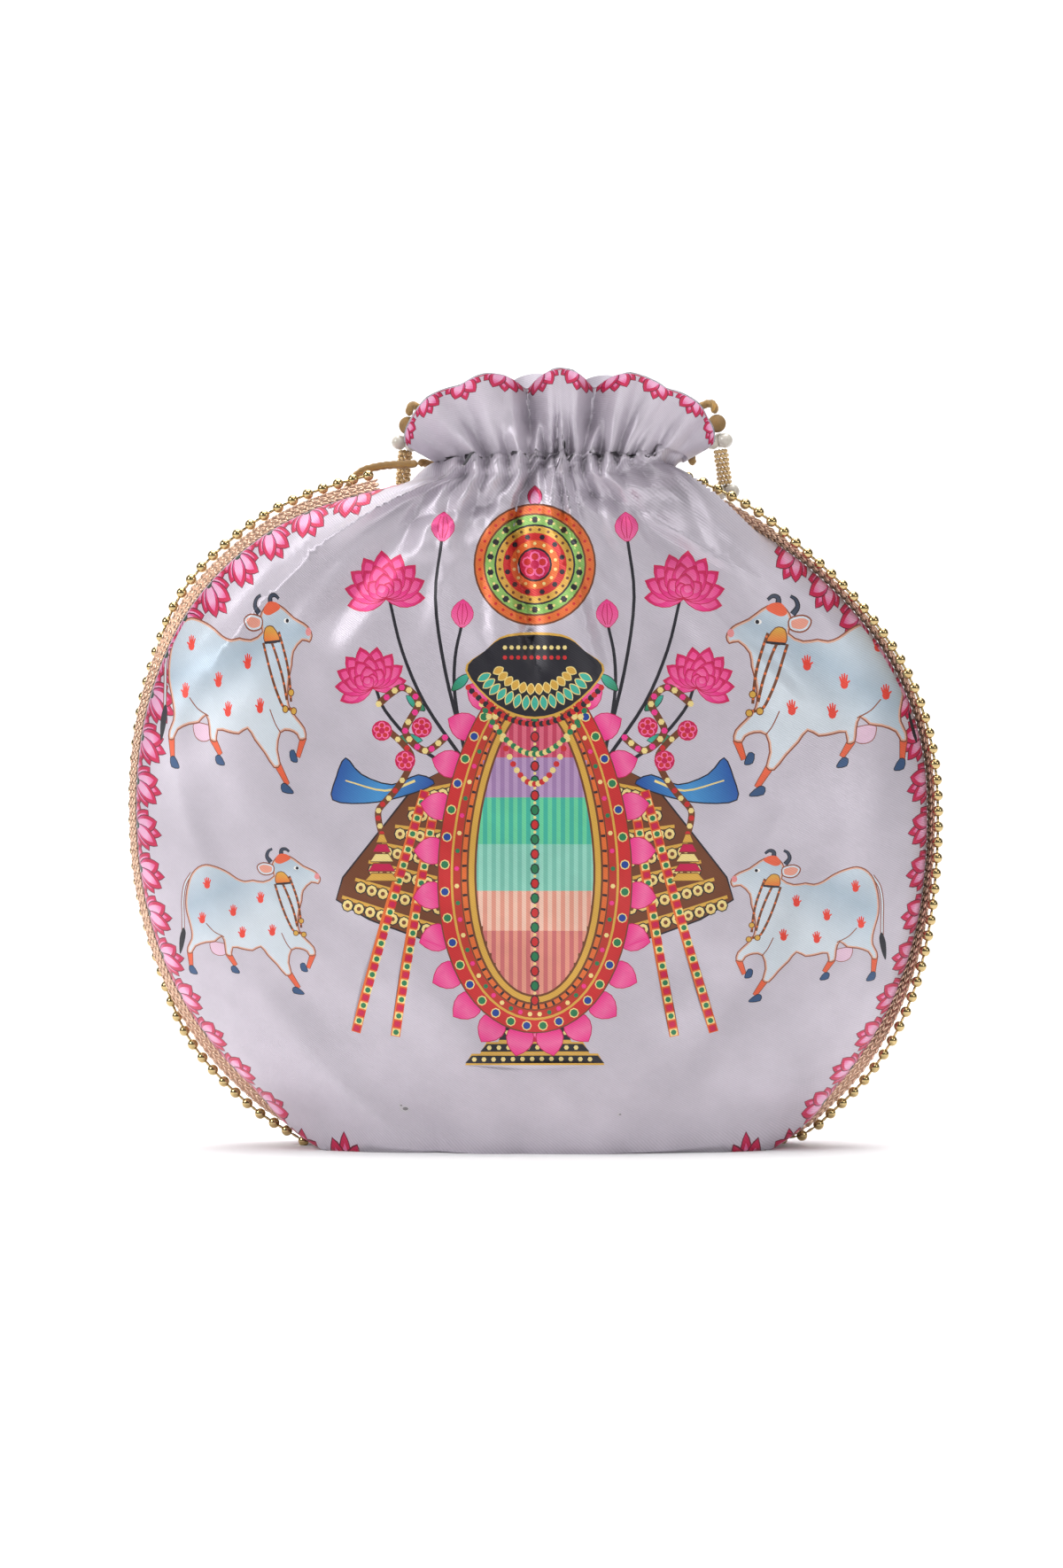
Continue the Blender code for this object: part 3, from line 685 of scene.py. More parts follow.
def petal_shapes(base, degrees, length, width, line=0.17):
    """A petal that points this way from straight up, in millimetres: a dark line, a
    crimson edge and tip and a pale heart."""
    base, way = np.array(base, float), heading(degrees)
    ends = {"start": base, "end": base + way * length}
    outer = petal_outline(base, way, length, width)
    heart = petal_outline(base, way, length * 0.80, width * 0.56)
    deep = (PETAL_PALE, PETAL_PINK, CRIMSON, CRIMSON, CRIMSON)
    pale = (PETAL_PALE, PETAL_PALE, PETAL_PALE, PETAL_PINK, CRIMSON)
    return [*lined(outer, line, PETAL_LINE, *deep, **ends), shape(heart, *pale, **ends)]


# Petals of the border's half lotus, back to front: the way each points from straight
# in, and its length and width in millimetres
HALF_LOTUS = [
    (-80, 7.6, 3.2), (80, 7.6, 3.2), (-52, 8, 4.2), (52, 8, 4.2), (0, 9.8, 4.4), (-25, 9, 5.2),
    (25, 9, 5.2),
]


def half_lotus():
    """The border's motif: a half lotus that stands on the seam."""
    shapes = []
    for degrees, length, width in HALF_LOTUS:
        shapes += petal_shapes((0, 0.2), degrees, length, width, 0.30)
    turns = np.linspace(0, math.pi, 7)
    foot = np.stack([1.5 * np.cos(turns), 0.1 + 1.3 * np.sin(turns)], -1)
    return [*shapes, shape(foot, LEAF_DARK)]


LOTUS_PITCH = 0.0143
RIM_PITCH = 0.0108

# How deep the lotuses lie under the cloth's edge, in millimetres, along the seam from
# the neck's left and along the rim, as (share, depth); deeper ones are left out
SHARES = np.linspace(0, 1, 101)
RIM_CUTS = [(0.0, 2.0), (1.0, 2.0)]
DEEPEST_CUT = 0.010
SEAM_CUTS = [
    (0.0, 0.6), (0.30, 0.2), (0.36, -2.5), (0.385, -9.0), (0.41, -17.0), (0.44, -12.0),
    (0.56, -12.0), (0.59, -17.0), (0.615, -9.0), (0.64, -2.5), (0.68, 0.2), (0.72, 2.4),
    (0.935, 2.4), (0.94, 20.0), (1.0, 20.0),
]


def border_shapes():
    """Half lotuses all along the seam and along the frill's rim, on the flat cloth."""
    motif = half_lotus()
    ups = np.linspace(0.0, 0.97, 700)
    left, right = (flat_from_cloth(np.full(700, side), ups) for side in (-1, 1))
    bottom = flat_from_cloth(np.linspace(-1, 1, 300), np.zeros(300))
    seam = np.vstack([left[::-1], bottom[1:-1], right])
    rim = flat_from_cloth(np.linspace(1, -1, 300), np.full(300, 2.0))
    shapes = [shape(band(rim[::4], 1.1 * MM, steps=1), CRIMSON)]
    for line, pitch, cuts, size in (
        (seam, LOTUS_PITCH, SEAM_CUTS, 1.06 * MM),
        (rim, RIM_PITCH, RIM_CUTS, 0.84 * MM),
    ):
        lengths = run_lengths(line)
        count = int(round(lengths[-1] / pitch))
        cuts = np.interp(SHARES, *np.array(cuts).T) * MM
        for share in (np.arange(count) + 0.5) / count:
            cut = np.interp(share, SHARES, cuts)
            if cut > DEEPEST_CUT:
                continue
            steps = lengths[-1] * share + np.array((-0.002, 0, 0.002))
            behind, place, ahead = along_line(line, lengths, steps)
            turn = math.atan2(ahead[1] - behind[1], ahead[0] - behind[0])
            place = place + np.array((math.sin(turn), -math.cos(turn))) * cut
            shapes += moved(motif, place, (size, size), turn)
    return shapes


# The cow, drawn once on a grid 112 wide and 108 high and facing right
COW_BODY = [
    (74, 88), (66, 84), (58, 85), (52, 84), (46, 86), (40, 90), (34, 93), (28, 95),
    (22, 96), (16, 94), (11, 89), (8, 82), (6, 72), (6, 62), (8, 54), (10, 46), (10, 40),
    (7, 34), (7, 29), (11, 29), (14, 34), (22, 37), (29, 38), (34, 42), (36, 36), (37, 29),
    (42, 28), (43, 34), (50, 33), (58, 32), (64, 35), (69, 29), (76, 22), (83, 14),
    (88, 16), (86, 24), (88, 33), (94, 34), (99, 32), (101, 29), (106, 30), (105, 36),
    (99, 42), (94, 48), (93, 55), (94, 63), (96, 70), (97, 77), (103, 83), (108, 82),
    (110, 86), (108, 90), (104, 93), (97, 96), (90, 101), (83, 104), (76, 102), (72, 95),
]
COW_UDDER = [(25, 38), (26, 31), (31, 28), (37, 29), (41, 35), (33, 38)]
COW_EAR = [(74, 90), (68, 88), (63, 90), (61, 95), (66, 98), (74, 96)]
COW_HORNS = [
    [(72, 98), (69, 102), (70, 106), (73, 108)],
    [(80, 103), (80, 107), (83, 108), (86, 106)],
]
COW_POLL = [(75, 99), (78, 104), (84, 104), (87, 101), (82, 98), (78, 97)]
COW_TAIL = [(11, 89), (6, 81), (4, 70), (4, 58), (4, 46)]
COW_TAIL_TIP = [(4, 48), (1, 40), (1, 28), (4, 34), (6, 44)]
COW_LEGS = [
    ((9, 31), (10, 19), (8, 19, 15, 13)),
    ((39, 30), (45, 21), (41, 20, 48, 15)),
    ((85, 17), (93, 5), (88, 5, 97, 0)),
    ((104, 31), (100, 20), (94, 23, 100, 17)),
]
COW_CREASES = [[(22, 52), (28, 46), (36, 42)], [(80, 46), (84, 38), (88, 33)]]
COW_HANDS = [(23, 80), (19, 54), (43, 60), (64, 70), (73, 46), (50, 44)]
COW_ROPES = [
    [(75, 82), (80, 67), (85, 55), (90, 47), (97, 46)],
    [(78, 88), (84, 76), (89, 63), (92, 51)],
    [(86, 88), (89, 80), (92, 71), (94, 61), (95, 50)],
]


def hand_shapes(place):
    """A small red hand print."""
    x, z = place
    shapes = [shape(oval((x, z), 2.3, 2.4, 8), HAND_RED)]
    for out, up in ((-3.3, 2.2), (-1.7, 5.4), (-0.2, 6.2), (1.3, 5.8), (2.7, 4.4)):
        finger = band([(x + out * 0.5, z + 1), (x + out, z + up)], 1.3, 0.8, 1)
        shapes.append(shape(finger, HAND_RED))
    return shapes


def cow_shapes():
    """A garlanded cow that walks to the right, on its grid."""
    shapes = [shape(band(COW_TAIL, 2.6), HIDE_LINE), shape(band(COW_TAIL, 1.2), HIDE_PALE)]
    shapes.append(shape(rounded(COW_TAIL_TIP), INK))
    for top, foot, (x0, z0, x1, z1) in COW_LEGS:
        shapes += lined(band([top, foot], 5.0, 3.4, 2), 0.5, HIDE_LINE, LEG_RED)
        edge = [(x0, z0), (x0 + 3.4, z0 + 1), (x1, z1 + 1.6), (x1 - 1, z1), (x0 + 1, z1 + 1)]
        shapes += lined(rounded(edge, 2), 0.5, INK, HOOF)
    shapes += lined(rounded(COW_UDDER), 0.5, HIDE_LINE, dye(226, 190, 210))
    body = rounded(COW_BODY, 2)
    grades = (HIDE_PALE, HIDE_GREY, HIDE_PALE, HIDE_PALE)
    shapes += lined(body, 0.8, HIDE_LINE, PEACH)
    shapes += lined(inset(body, 0.8), 0.9, PEACH, *grades, start=(10, 100), end=(60, 20))
    for crease in COW_CREASES:
        shapes.append(shape(band(crease, 0.7), HIDE_LINE))
    shapes += lined(rounded(COW_EAR), 0.9, HIDE_LINE, HIDE_PALE)
    shapes.append(shape(inset(rounded(COW_EAR), 2.0), SALMON))
    for horn in COW_HORNS:
        shapes.append(shape(band(horn, 3.6, 1.8), INK))
        shapes.append(shape(band(horn, 2.2, 0.8), HORN))
    shapes.append(shape(rounded(COW_POLL), LEG_RED))
    for place in COW_HANDS:
        shapes += hand_shapes(place)
    for rope in COW_ROPES:
        shapes.append(shape(band(rope, 1.7), BROWN))
        shapes += dots(bent_line(rope)[1::2], 0.8, [ORANGE])
    for place in ((91, 46), (97, 45), (95, 55)):
        shapes += lined(oval(place, 2.3, sides=8), 0.6, BROWN, GOLD)
    tassel = [(76, 90), (82, 91), (87, 83), (76, 82)]
    shapes += lined(rounded(tassel), 0.6, BROWN, GOLD, ORANGE, start=(80, 91), end=(80, 82))
    shapes.append(shape(band([(76, 82), (87, 83)], 1.4), INK))
    shapes.append(shape(oval((91.5, 94), 2.2, 1.4, 8), dye(245, 240, 236)))
    shapes.append(shape(oval((92, 94), 1.2, sides=8), INK))
    return [*shapes, shape(oval((107, 88), 2.0, 2.4, 8), dye(226, 140, 140))]


# Each cow's box on the front as it is seen, in millimetres, and the way it faces
COWS = [
    (-113.4, -65.3, 108.8, 168.8, 1), (57.5, 118.3, 108, 168.5, -1), (-107.5, -62.6, 48.1, 92.3, 1),
    (58.9, 108.3, 45.9, 91.8, -1),
]
COW_GRID = (112, 108)


def placed_cows():
    """The four cows, two and two face to face."""
    shapes, motif = [], cow_shapes()
    for left, right, bottom, top, faces in COWS:
        size = (right - left) / COW_GRID[0], (top - bottom) / COW_GRID[1]
        edge = left if faces > 0 else right
        shapes += moved(motif, (edge, bottom), (size[0] * faces, size[1]))
    return shapes


# The central ornament: an urn of lotus petals and beads between lotus sprays, in
# millimetres from its own middle line

URN = namedtuple("Urn", "middle half_width half_height")(92.0, 29.0, 55.0)


def urn_point(turn, inward=0.0):
    """A point of the urn's egg-shaped outline, or of one drawn inside it, and the way
    that it looks out; turn 0 is its foot."""
    wide, tall = URN.half_width - inward, URN.half_height - inward
    height = -math.cos(turn)
    slim = 1 - 0.16 * height
    place = np.array((wide * math.sin(turn) * slim, URN.middle + tall * height))
    way = np.array((math.sin(turn) / wide, height / tall))
    return place, way / np.linalg.norm(way)


def urn_outline(inward=0.0, sides=64):
    """The urn's outline, or one that is drawn inside it."""
    turns = np.linspace(0, 2 * math.pi, sides, endpoint=False)
    return np.array([urn_point(t, inward)[0] for t in turns])


def urn_ring(count, inward, make):
    """What a function makes at places evenly round the urn."""
    shapes = []
    for k in range(count):
        place, way = urn_point(2 * math.pi * (k + 0.5) / count, inward)
        shapes += make(k, place, way)
    return shapes


PANEL_ROWS = [
    (48.0, SALMON, dye(206, 108, 108)),
    (68.0, dye(240, 196, 176), SALMON),
    (80.0, AQUA, dye(120, 192, 172)),
    (94.0, dye(104, 208, 158), TEAL),
    (108.0, MAUVE, dye(160, 124, 172)),
    (120.0, dye(222, 104, 128), dye(198, 62, 92)),
]
PANEL_TOP = 134.0


def urn_panel():
    """The urn's woven middle: coloured rows of fine upright stripes."""
    shapes = []
    inward, pitch = 10.5, 1.3
    wide, tall = URN.half_width - inward, URN.half_height - inward
    tops = [row[0] for row in PANEL_ROWS[1:]] + [PANEL_TOP]
    for k in range(-15, 15):
        x0, x1 = k * pitch, (k + 1) * pitch
        reach = 1 - ((abs(x0) + abs(x1)) / 2 / (wide * 1.02)) ** 2
        if reach <= 0:
            continue
        low, high = (URN.middle + s * tall * math.sqrt(reach) for s in (-1, 1))
        for (bottom, light, dark), top in zip(PANEL_ROWS, tops):
            z0, z1 = max(bottom, low), min(top, high)
            if z1 - z0 > 0.5:
                cell = [(x0, z0), (x1, z0), (x1, z1), (x0, z1)]
                shapes.append(shape(cell, light if k % 2 else dark))
    edge = urn_outline(10.2)
    edge = np.vstack([edge, edge[:1]])
    shapes.append(shape(band(edge, 3.0, steps=1), BROWN))
    shapes.append(shape(band(edge, 1.7, steps=1), GOLD))
    return shapes


def urn_shapes():
    """The urn's body with its rings of petals, beads and bands."""

    def petal(k, place, way):
        outline = petal_outline(place - way * 3.5, way, 11.0, 8.4)
        ends = {"start": place, "end": place + way * 7}
        return lined(outline, 0.25, CRIMSON, HOT_PINK, SOFT_PINK, HOT_PINK, **ends)

    def bead(k, place, way):
        colour = (GREEN, BLUE)[k % 2]
        return lined(oval(place, 1.5, sides=8), 0.35, PALE_GOLD, colour)

    def small_bead(k, place, way):
        return [shape(oval(place, 0.75, sides=6), (PALE_GOLD, GREEN, HOT_PINK)[k % 3])]

    def fringe(k, place, way):
        return [shape(band([place, place - way * 2.3], 0.8, 0.5, 1), INK)]

    shapes = []
    for count, inward, make, bands in (
        (26, 0.0, petal, ((0.0, BROWN), (0.4, RED))),
        (40, 2.2, bead, ((4.0, GOLD), (4.7, dye(190, 52, 40)))),
        (58, 5.8, small_bead, ((6.9, BROWN), (7.3, ORANGE))),
        (66, 7.4, fringe, ((10.1, BROWN),)),
    ):
        shapes += urn_ring(count, inward, make)
        shapes += [shape(urn_outline(edge), colour) for edge, colour in bands]
    shapes += urn_panel()
    for z in np.arange(47.0, 134.0, 4.4):
        colour = (RED, GREEN)[int(z / 4.4) % 2]
        shapes += lined(oval((0, z), 1.4, 1.7, 8), 0.4, INK, colour)
        shapes.append(shape(oval((0, z + 2.2), 0.5, sides=6), PALE_GOLD))
    return shapes


def garland_shapes():
    """Bead garlands that hang over the urn's shoulder."""
    shapes = []
    for half, top, low, colours in (
        (13.0, 136.0, 112.0, (RED, PALE_GOLD)),
        (17.0, 138.0, 121.0, (GREEN, PALE_GOLD)),
        (20.0, 141.0, 130.0, (RED, INK)),
    ):
        share = np.linspace(-1, 1, int(half * 1.9) + 1)
        places = np.stack([half * share, low + (top - low) * share * share], -1)
        shapes += dots(places, 0.95, colours, 7)
    return shapes


def collar_shapes():
    """A dark collar over the urn's mouth, hung with teal drops."""
    shapes = []
    for outer, colour in ((0.0, GOLD), (0.7, INK)):
        edge = [(-21 + outer, 146), (-11, 135 + outer), (0, 131.5 + outer)]
        edge += [(11, 135 + outer), (21 - outer, 146), (15, 152), (8, 157 - outer)]
        edge += [(-8, 157 - outer), (-15, 152)]
        shapes.append(shape(rounded(edge, 4), colour))
    for row, radius, count, colour in ((0, 15.0, 15, TEAL), (1, 11.2, 12, GOLD)):
        for turn in np.radians(np.linspace(-62, 62, count)):
            way = np.array((math.sin(turn), -math.cos(turn)))
            place = np.array((0, 151.0)) + way * radius * np.array((1.15, 0.98))
            drop = petal_outline(place - way * 2.2, way, 4.6 - row, 2.5)
            shapes += lined(drop, 0.3, PALE_GOLD, colour)
    for height, colour in ((150.0, RED), (153.0, PALE_GOLD)):
        shapes += dots([(x, height) for x in np.arange(-9.0, 9.1, 2.0)], 0.7, [colour])
    return shapes


def rosette_shapes(centre, radius):
    """A small round rosette."""
    shapes = [shape(oval(centre, radius, sides=14), CRIMSON)]
    places = oval(centre, radius * 0.52, sides=5, start=0.3)
    shapes += dots(places, radius * 0.36, [SOFT_PINK], 8)
    shapes += dots(places, radius * 0.24, [RED], 8)
    return [*shapes, shape(oval(centre, radius * 0.3, sides=8), CRIMSON)]


def mandala_shapes(centre=(0.0, 178.0), radius=18.5):
    """A round many-ringed flower above the urn."""
    shapes = petal_shapes((centre[0], centre[1] + radius - 1), 0, 6.5, 4.6)
    for share, colour, sides in (
        (1.00, BROWN, 40), (0.97, ORANGE, 40), (0.84, BROWN, 36), (0.81, LIME, 36),
        (0.66, INK, 32), (0.63, GOLD, 32), (0.52, RED, 28), (0.40, ORANGE, 24),
        (0.28, INK, 20),
    ):
        shapes.append(shape(oval(centre, radius * share, sides=sides), colour))
    for share, size, count, colour in (
        (0.90, 0.50, 36, RED), (0.735, 1.05, 18, INK), (0.735, 0.45, 36, PALE_GOLD),
        (0.575, 0.50, 24, BROWN), (0.46, 0.85, 12, INK), (0.345, 0.55, 14, PALE_GOLD),
    ):
        places = oval(centre, radius * share, sides=count, start=math.pi / count)
        shapes += dots(places, size, [colour])
    return [*shapes, *rosette_shapes(centre, radius * 0.25)]


def open_lotus(size):
    """A large open lotus on the end of its stem, pointing up."""
    shapes = []
    for degrees, length, width in (
        (-96, 14.0, 7.0), (96, 14.0, 7.0), (-72, 15.0, 7.6), (72, 15.0, 7.6),
        (-48, 15.6, 8.0), (48, 15.6, 8.0), (-24, 16.2, 8.4), (24, 16.2, 8.4),
        (0, 16.8, 8.6), (-60, 11.6, 7.0), (60, 11.6, 7.0), (-34, 12.4, 7.6),
        (34, 12.4, 7.6), (-10, 12.6, 7.6), (14, 12.2, 7.6), (-44, 8.4, 6.6),
        (44, 8.4, 6.6), (0, 8.8, 7.0), (-18, 5.6, 5.0), (20, 5.4, 5.0),
    ):
        way = heading(degrees)
        outline = petal_outline(np.zeros(2), way, length, width)
        heart = petal_outline(way * length * 0.38, way, length * 0.5, width * 0.56)
        ends = {"start": (0, 0), "end": way * length}
        shapes += lined(outline, 0.30, CRIMSON, SOFT_PINK, HOT_PINK, CRIMSON, **ends)
        shapes.append(shape(heart, PETAL_BLUSH, SOFT_PINK, HOT_PINK, **ends))
    return moved(shapes, (0, 0), (size, size))


def bud_shapes(size):
    """A lotus bud that points up."""
    outline = petal_outline(np.zeros(2), heading(0), 9.6, 7.6)
    shapes = lined(outline, 0.2, CRIMSON, SOFT_PINK, HOT_PINK, start=(0, 0), end=(0, 10))
    for out in (-1.7, 0, 1.7):
        vein = band([(out * 0.4, 1), (out, 4.5), (out * 0.5, 8)], 0.25)
        shapes.append(shape(vein, CRIMSON))
    return moved(shapes, (0, 0), (size, size))


def spray_shapes():
    """A spray of two open lotuses and two buds, to the right of the urn."""
    shapes = []
    for stem in (
        [(22, 120), (33, 136), (40, 152), (44, 168)],
        [(24, 116), (36, 124), (45, 134), (48, 141)],
        [(21, 122), (27, 146), (30, 168), (28, 186)],
        [(21, 121), (24, 138), (24, 150), (22, 160)],
    ):
        shapes.append(shape(band(stem, 1.1, 0.9), INK))
    shapes += moved(open_lotus(0.86), (45, 168), turn=-0.1)
    shapes += moved(open_lotus(0.76), (49, 141), turn=-0.30)
    shapes += moved(bud_shapes(0.95), (28, 185), turn=0.06)
    shapes += moved(bud_shapes(0.90), (22, 159), turn=0.04)
    for place, turn in (((33, 134), 0.9), ((25, 140), -0.8), ((41, 126), -1.7)):
        leaf = petal_outline(np.zeros(2), heading(0), 7.5, 3.2)
        shapes += moved(lined(leaf, 0.25, INK, GREEN, TEAL, end=(0, 7)), place, turn=-turn)
    return shapes


def ribbon_shapes():
    """Blue ribbons that blow out to the right."""
    lower = [(30, 112), (40, 108), (51, 106), (61, 107), (60, 114), (57, 120), (52, 115)]
    lower += [(43, 112), (35, 115)]
    shapes = lined(rounded(lower), 0.4, INK, BLUE, SKY, BLUE, start=(30, 110), end=(61, 118))
    fold = band([(36, 113), (45, 110), (57, 113)], 0.8, 0.4)
    return [*shapes, shape(fold, PALE_GOLD)]


def fan_shapes():
    """A brown and gold leaf fan in scalloped rows, behind the urn on the right."""
    shapes = []
    outline = [(24, 118), (36, 112), (58, 84), (60, 77), (50, 71), (36, 66), (24, 62)]
    shapes += lined(np.array(outline, float), 0.5, INK, BROWN)
    for row in range(7):
        share = row / 6
        left = np.array((24.0, 112.0 - 44 * share))
        right = np.array((34.0 + 24 * share, 110.0 - 32 * share))
        count = 4 + row
        shapes.append(shape(band([left, right], 1.0, steps=1), GOLD))
        for k in range(count):
            place = left + (right - left) * (k + 0.6) / count - np.array((0.3, 2.2))
            ends = {"start": place, "end": place - np.array((0, 3))}
            scale = oval(place, 1.9, 2.0, 8)
            shapes += lined(scale, 0.35, INK, PALE_GOLD, GOLD, **ends)
            shapes.append(shape(oval(place, 0.7, sides=6), BROWN))
    return shapes


def rope_shapes():
    """A rope of beads with rosettes and a bell tassel, to the right of the urn."""
    shapes = []
    for points, width, size, colour in (
        ([(27, 126), (33, 122), (39, 128), (35, 136), (40, 141), (47, 136)], 2.2, 1.0, HOT_PINK),
        ([(44, 128), (37, 120), (42, 110), (47, 104), (46, 97)], 2.0, 0.9, RED),
    ):
        line = bent_line(points, 6)
        shapes.append(shape(band(line[::3], width), BROWN))
        shapes += dots(line[::2], size, (colour, PALE_GOLD))
    for place in ((34, 129), (46, 128), (39, 119)):
        shapes += rosette_shapes(place, 3.1)
    tiers = ((1.8, GOLD), (2.8, CRIMSON), (3.5, PALE_GOLD), (4.2, CRIMSON), (5.0, GOLD))
    for k, (half, colour) in enumerate(tiers):
        top = 97.0 - 2.9 * k
        tier = [(46 - half, top - 2.7), (46 + half, top - 2.7), (45.6 + half * 0.7, top)]
        tier.append((46.4 - half * 0.7, top))
        shapes += lined(np.array(tier, float), 0.3, BROWN, colour)
    return shapes


def bead_string(start, end):
    """A flat string of square beads, red and green by turns."""
    start, end = np.array(start, float), np.array(end, float)
    length = np.linalg.norm(end - start)
    way = (end - start) / length
    side = np.array((-way[1], way[0]))
    shapes = [shape(band([start, end], 2.9, steps=1), ORANGE)]
    count = int(length / 2.45)
    for k in range(count):
        low, high = (start + way * length * (k + t) / count for t in (0.08, 0.92))
        cell = [low - side * 1.15, high - side * 1.15, high + side * 1.15, low + side * 1.15]
        shapes.append(shape(cell, (RED, PALE_GOLD)[k % 2]))
        shapes.append(shape(oval((low + high) / 2, 0.85, sides=8), (CRIMSON, GREEN)[k % 2]))
    return shapes


def foot_shapes():
    """The urn's stepped foot, dark with gold rims, and the rosette above it."""
    shapes = []
    for half, low, high in ((21.0, 27.5, 31.0), (16.5, 31.0, 34.5), (11.0, 34.5, 40.0)):
        step = [(-half, low), (half, low), (half - 2.0, high), (2.0 - half, high)]
        shapes += lined(np.array(step, float), 0.6, GOLD, INK)
        beads = [(x + 0.3, (low + high) / 2) for x in np.arange(2.5 - half, half - 2.0, 2.9)]
        shapes += dots(beads, 0.75, [PALE_GOLD])
    return [*shapes, *rosette_shapes((0, 38.5), 4.2)]


ORNAMENT_MIDDLE = 1.0


def ornament_shapes():
    """The whole central ornament, the same on both sides."""
    shapes = both_sides([*fan_shapes(), *ribbon_shapes()])
    strings = [*bead_string((33, 110), (54, 37)), *bead_string((30, 106), (42, 36))]
    shapes += both_sides([*strings, *spray_shapes(), *rope_shapes()])
    shapes += foot_shapes()
    shapes += [*urn_shapes(), *garland_shapes(), *mandala_shapes(), *collar_shapes()]
    return moved(shapes, (ORNAMENT_MIDDLE, 0))


def smudge_shapes():
    """A few small grey marks on the satin, low on the left and right."""
    shapes = []
    for x, z, size in ((-38.3, 13.6, 1.1), (-39.6, 14.6, 0.45), (26.5, 12.4, 0.5)):
        shapes.append(shape(oval((x, z), size * 1.5, size, 9), dye(196, 190, 196)))
        shapes.append(shape(oval((x + 0.2, z), size * 0.8, size * 0.5, 8), dye(128, 124, 126)))
    return shapes


def on_flat_cloth(shapes):
    """Shapes drawn as the front is seen, in millimetres, laid out on the flat cloth."""
    every = [v for o, _, start, end in shapes for v in (o, start[None], end[None])]
    flat = flat_from_front(np.vstack(every) * MM)
    laid, at = [], 0
    for drawn in shapes:
        end = at + len(drawn.outline)
        laid.append(Shape(flat[at:end], drawn.colours, flat[end], flat[end + 1]))
        at = end + 2
    return laid


def front_print():
    """Everything that is printed on the front."""
    seen = [*smudge_shapes(), *ornament_shapes(), *placed_cows()]
    return [*border_shapes(), *on_flat_cloth(seen)]


def cloth_border():
    """The cloth places of the flat cloth's edge, anticlockwise from its lower left."""
    bottom, rim = np.linspace(-1, 1, 96)[:-1], np.linspace(1, -1, 150)[:-1]
    side = [(0, 0.85, 105), (0.85, 1, 30), (1, 2, 20)]
    side = np.hstack([np.linspace(*part)[:-1] for part in side])
    across = np.r_[bottom, np.ones(len(side)), rim, -np.ones(len(side))]
    up = np.r_[0 * bottom, side, 0 * rim + 2.0, 2.0, side[:0:-1]]
    return across, up


def cloth_grid(step):
    """Places spread over the cloth, closer together where it is gathered."""
    places = []
    up = 0.0
    while up < 2.0:
        gathered = up > GATHERED_FROM
        fine = step * (GATHERED_RISE if gathered else 1.0)
        rise = fine / (FLAT_LENGTH if up < 1 else FRILL_LENGTH)
        up += rise
        if up >= 2.0 - rise * 0.4:
            break
        half = float(flat_half(np.array(up)))
        wide = fine * (GATHERED_WIDTH if gathered else 1.0)
        count = int(2 * half / wide)
        across = np.linspace(-1, 1, count + 1)[1:-1]
        places.append(np.stack([across, np.full(len(across), up)], -1))
    return np.vstack(places)


def covered(points, outline):
    """Which of the points lie inside a closed outline."""
    x, z = points[:, 0], points[:, 1]
    start = outline[:, None]
    way = np.roll(outline, -1, axis=0)[:, None] - start
    crossing = (start[..., 1] > z) != (start[..., 1] + way[..., 1] > z)
    rise = np.where(way[..., 1] == 0, 1.0, way[..., 1])
    at = start[..., 0] + (z - start[..., 1]) * way[..., 0] / rise
    return (crossing & (x < at)).sum(axis=0) % 2 == 1


def topmost_shapes(places, outlines):
    """For each place, which outline was drawn over it last; -1 is bare cloth."""
    order = np.argsort(places[:, 0])
    across = places[order, 0]
    topmost = np.full(len(places), -1)
    for k, outline in enumerate(outlines):
        low, high = outline.min(axis=0), outline.max(axis=0)
        some = order[np.searchsorted(across, low[0]) : np.searchsorted(across, high[0])]
        z = places[some, 1]
        some = some[(z > low[1]) & (z < high[1])]
        topmost[some[covered(places[some], outline)]] = k
    return topmost


def kept_on_cloth(outline):
    """An outline held just inside the cloth's edge."""
    kept = outline.copy()
    kept[:, 1] = np.clip(kept[:, 1], EDGE_ROOM, FLAT_LENGTH + FRILL_LENGTH - EDGE_ROOM)
    reach = flat_half(cloth_from_flat(kept)[1]) - EDGE_ROOM
    kept[:, 0] = np.clip(kept[:, 0], -reach, reach)
    return kept


def drawn_cloth(shapes, step):
    """Triangles of the flat cloth that follow the print, each with its colours.
    Returns cloth places, triangles, the colours of their corners and the border."""
    border = flat_from_cloth(*cloth_border())
    count = len(border)
    grid = cloth_grid(step)
    flat = [border, flat_from_cloth(grid[:, 0], grid[:, 1])]
    edges = [(k, (k + 1) % count) for k in range(count)]
    start = count + len(grid)
    outlines = [kept_on_cloth(drawn.outline) for drawn in shapes]
    for outline in outlines:
        size = len(outline)
        flat.append(outline)
        edges += [(start + k, start + (k + 1) % size) for k in range(size)]
        start += size
    points = [Vector(p) for p in np.vstack(flat)]
    found, _, triangles, sources, _, _ = delaunay_2d_cdt(points, edges, [], 1, 1e-7)
    found = np.array([tuple(p) for p in found])
    triangles = np.array(triangles)
    centres = found[triangles].mean(axis=1)
    topmost = topmost_shapes(centres, outlines)
    colours = np.tile(np.array(SATIN_WHITE), (len(triangles), 3, 1))
    for k in np.unique(topmost[topmost >= 0]):
        inside = topmost == k
        corners = found[triangles[inside].ravel()]
        colours[inside] = painted(shapes[k], corners).reshape(-1, 3, 3)
    ring = np.zeros(count, int)
    for place, origins in enumerate(sources):
        for origin in origins:
            if origin < count:
                ring[origin] = place
    across, up = cloth_from_flat(found)
    return across, up, triangles, colours, ring


def in_scene(name, data):
    """A new object with this data, in the scene."""
    made = bpy.data.objects.new(name, data)
    bpy.context.scene.collection.objects.link(made)
    return made


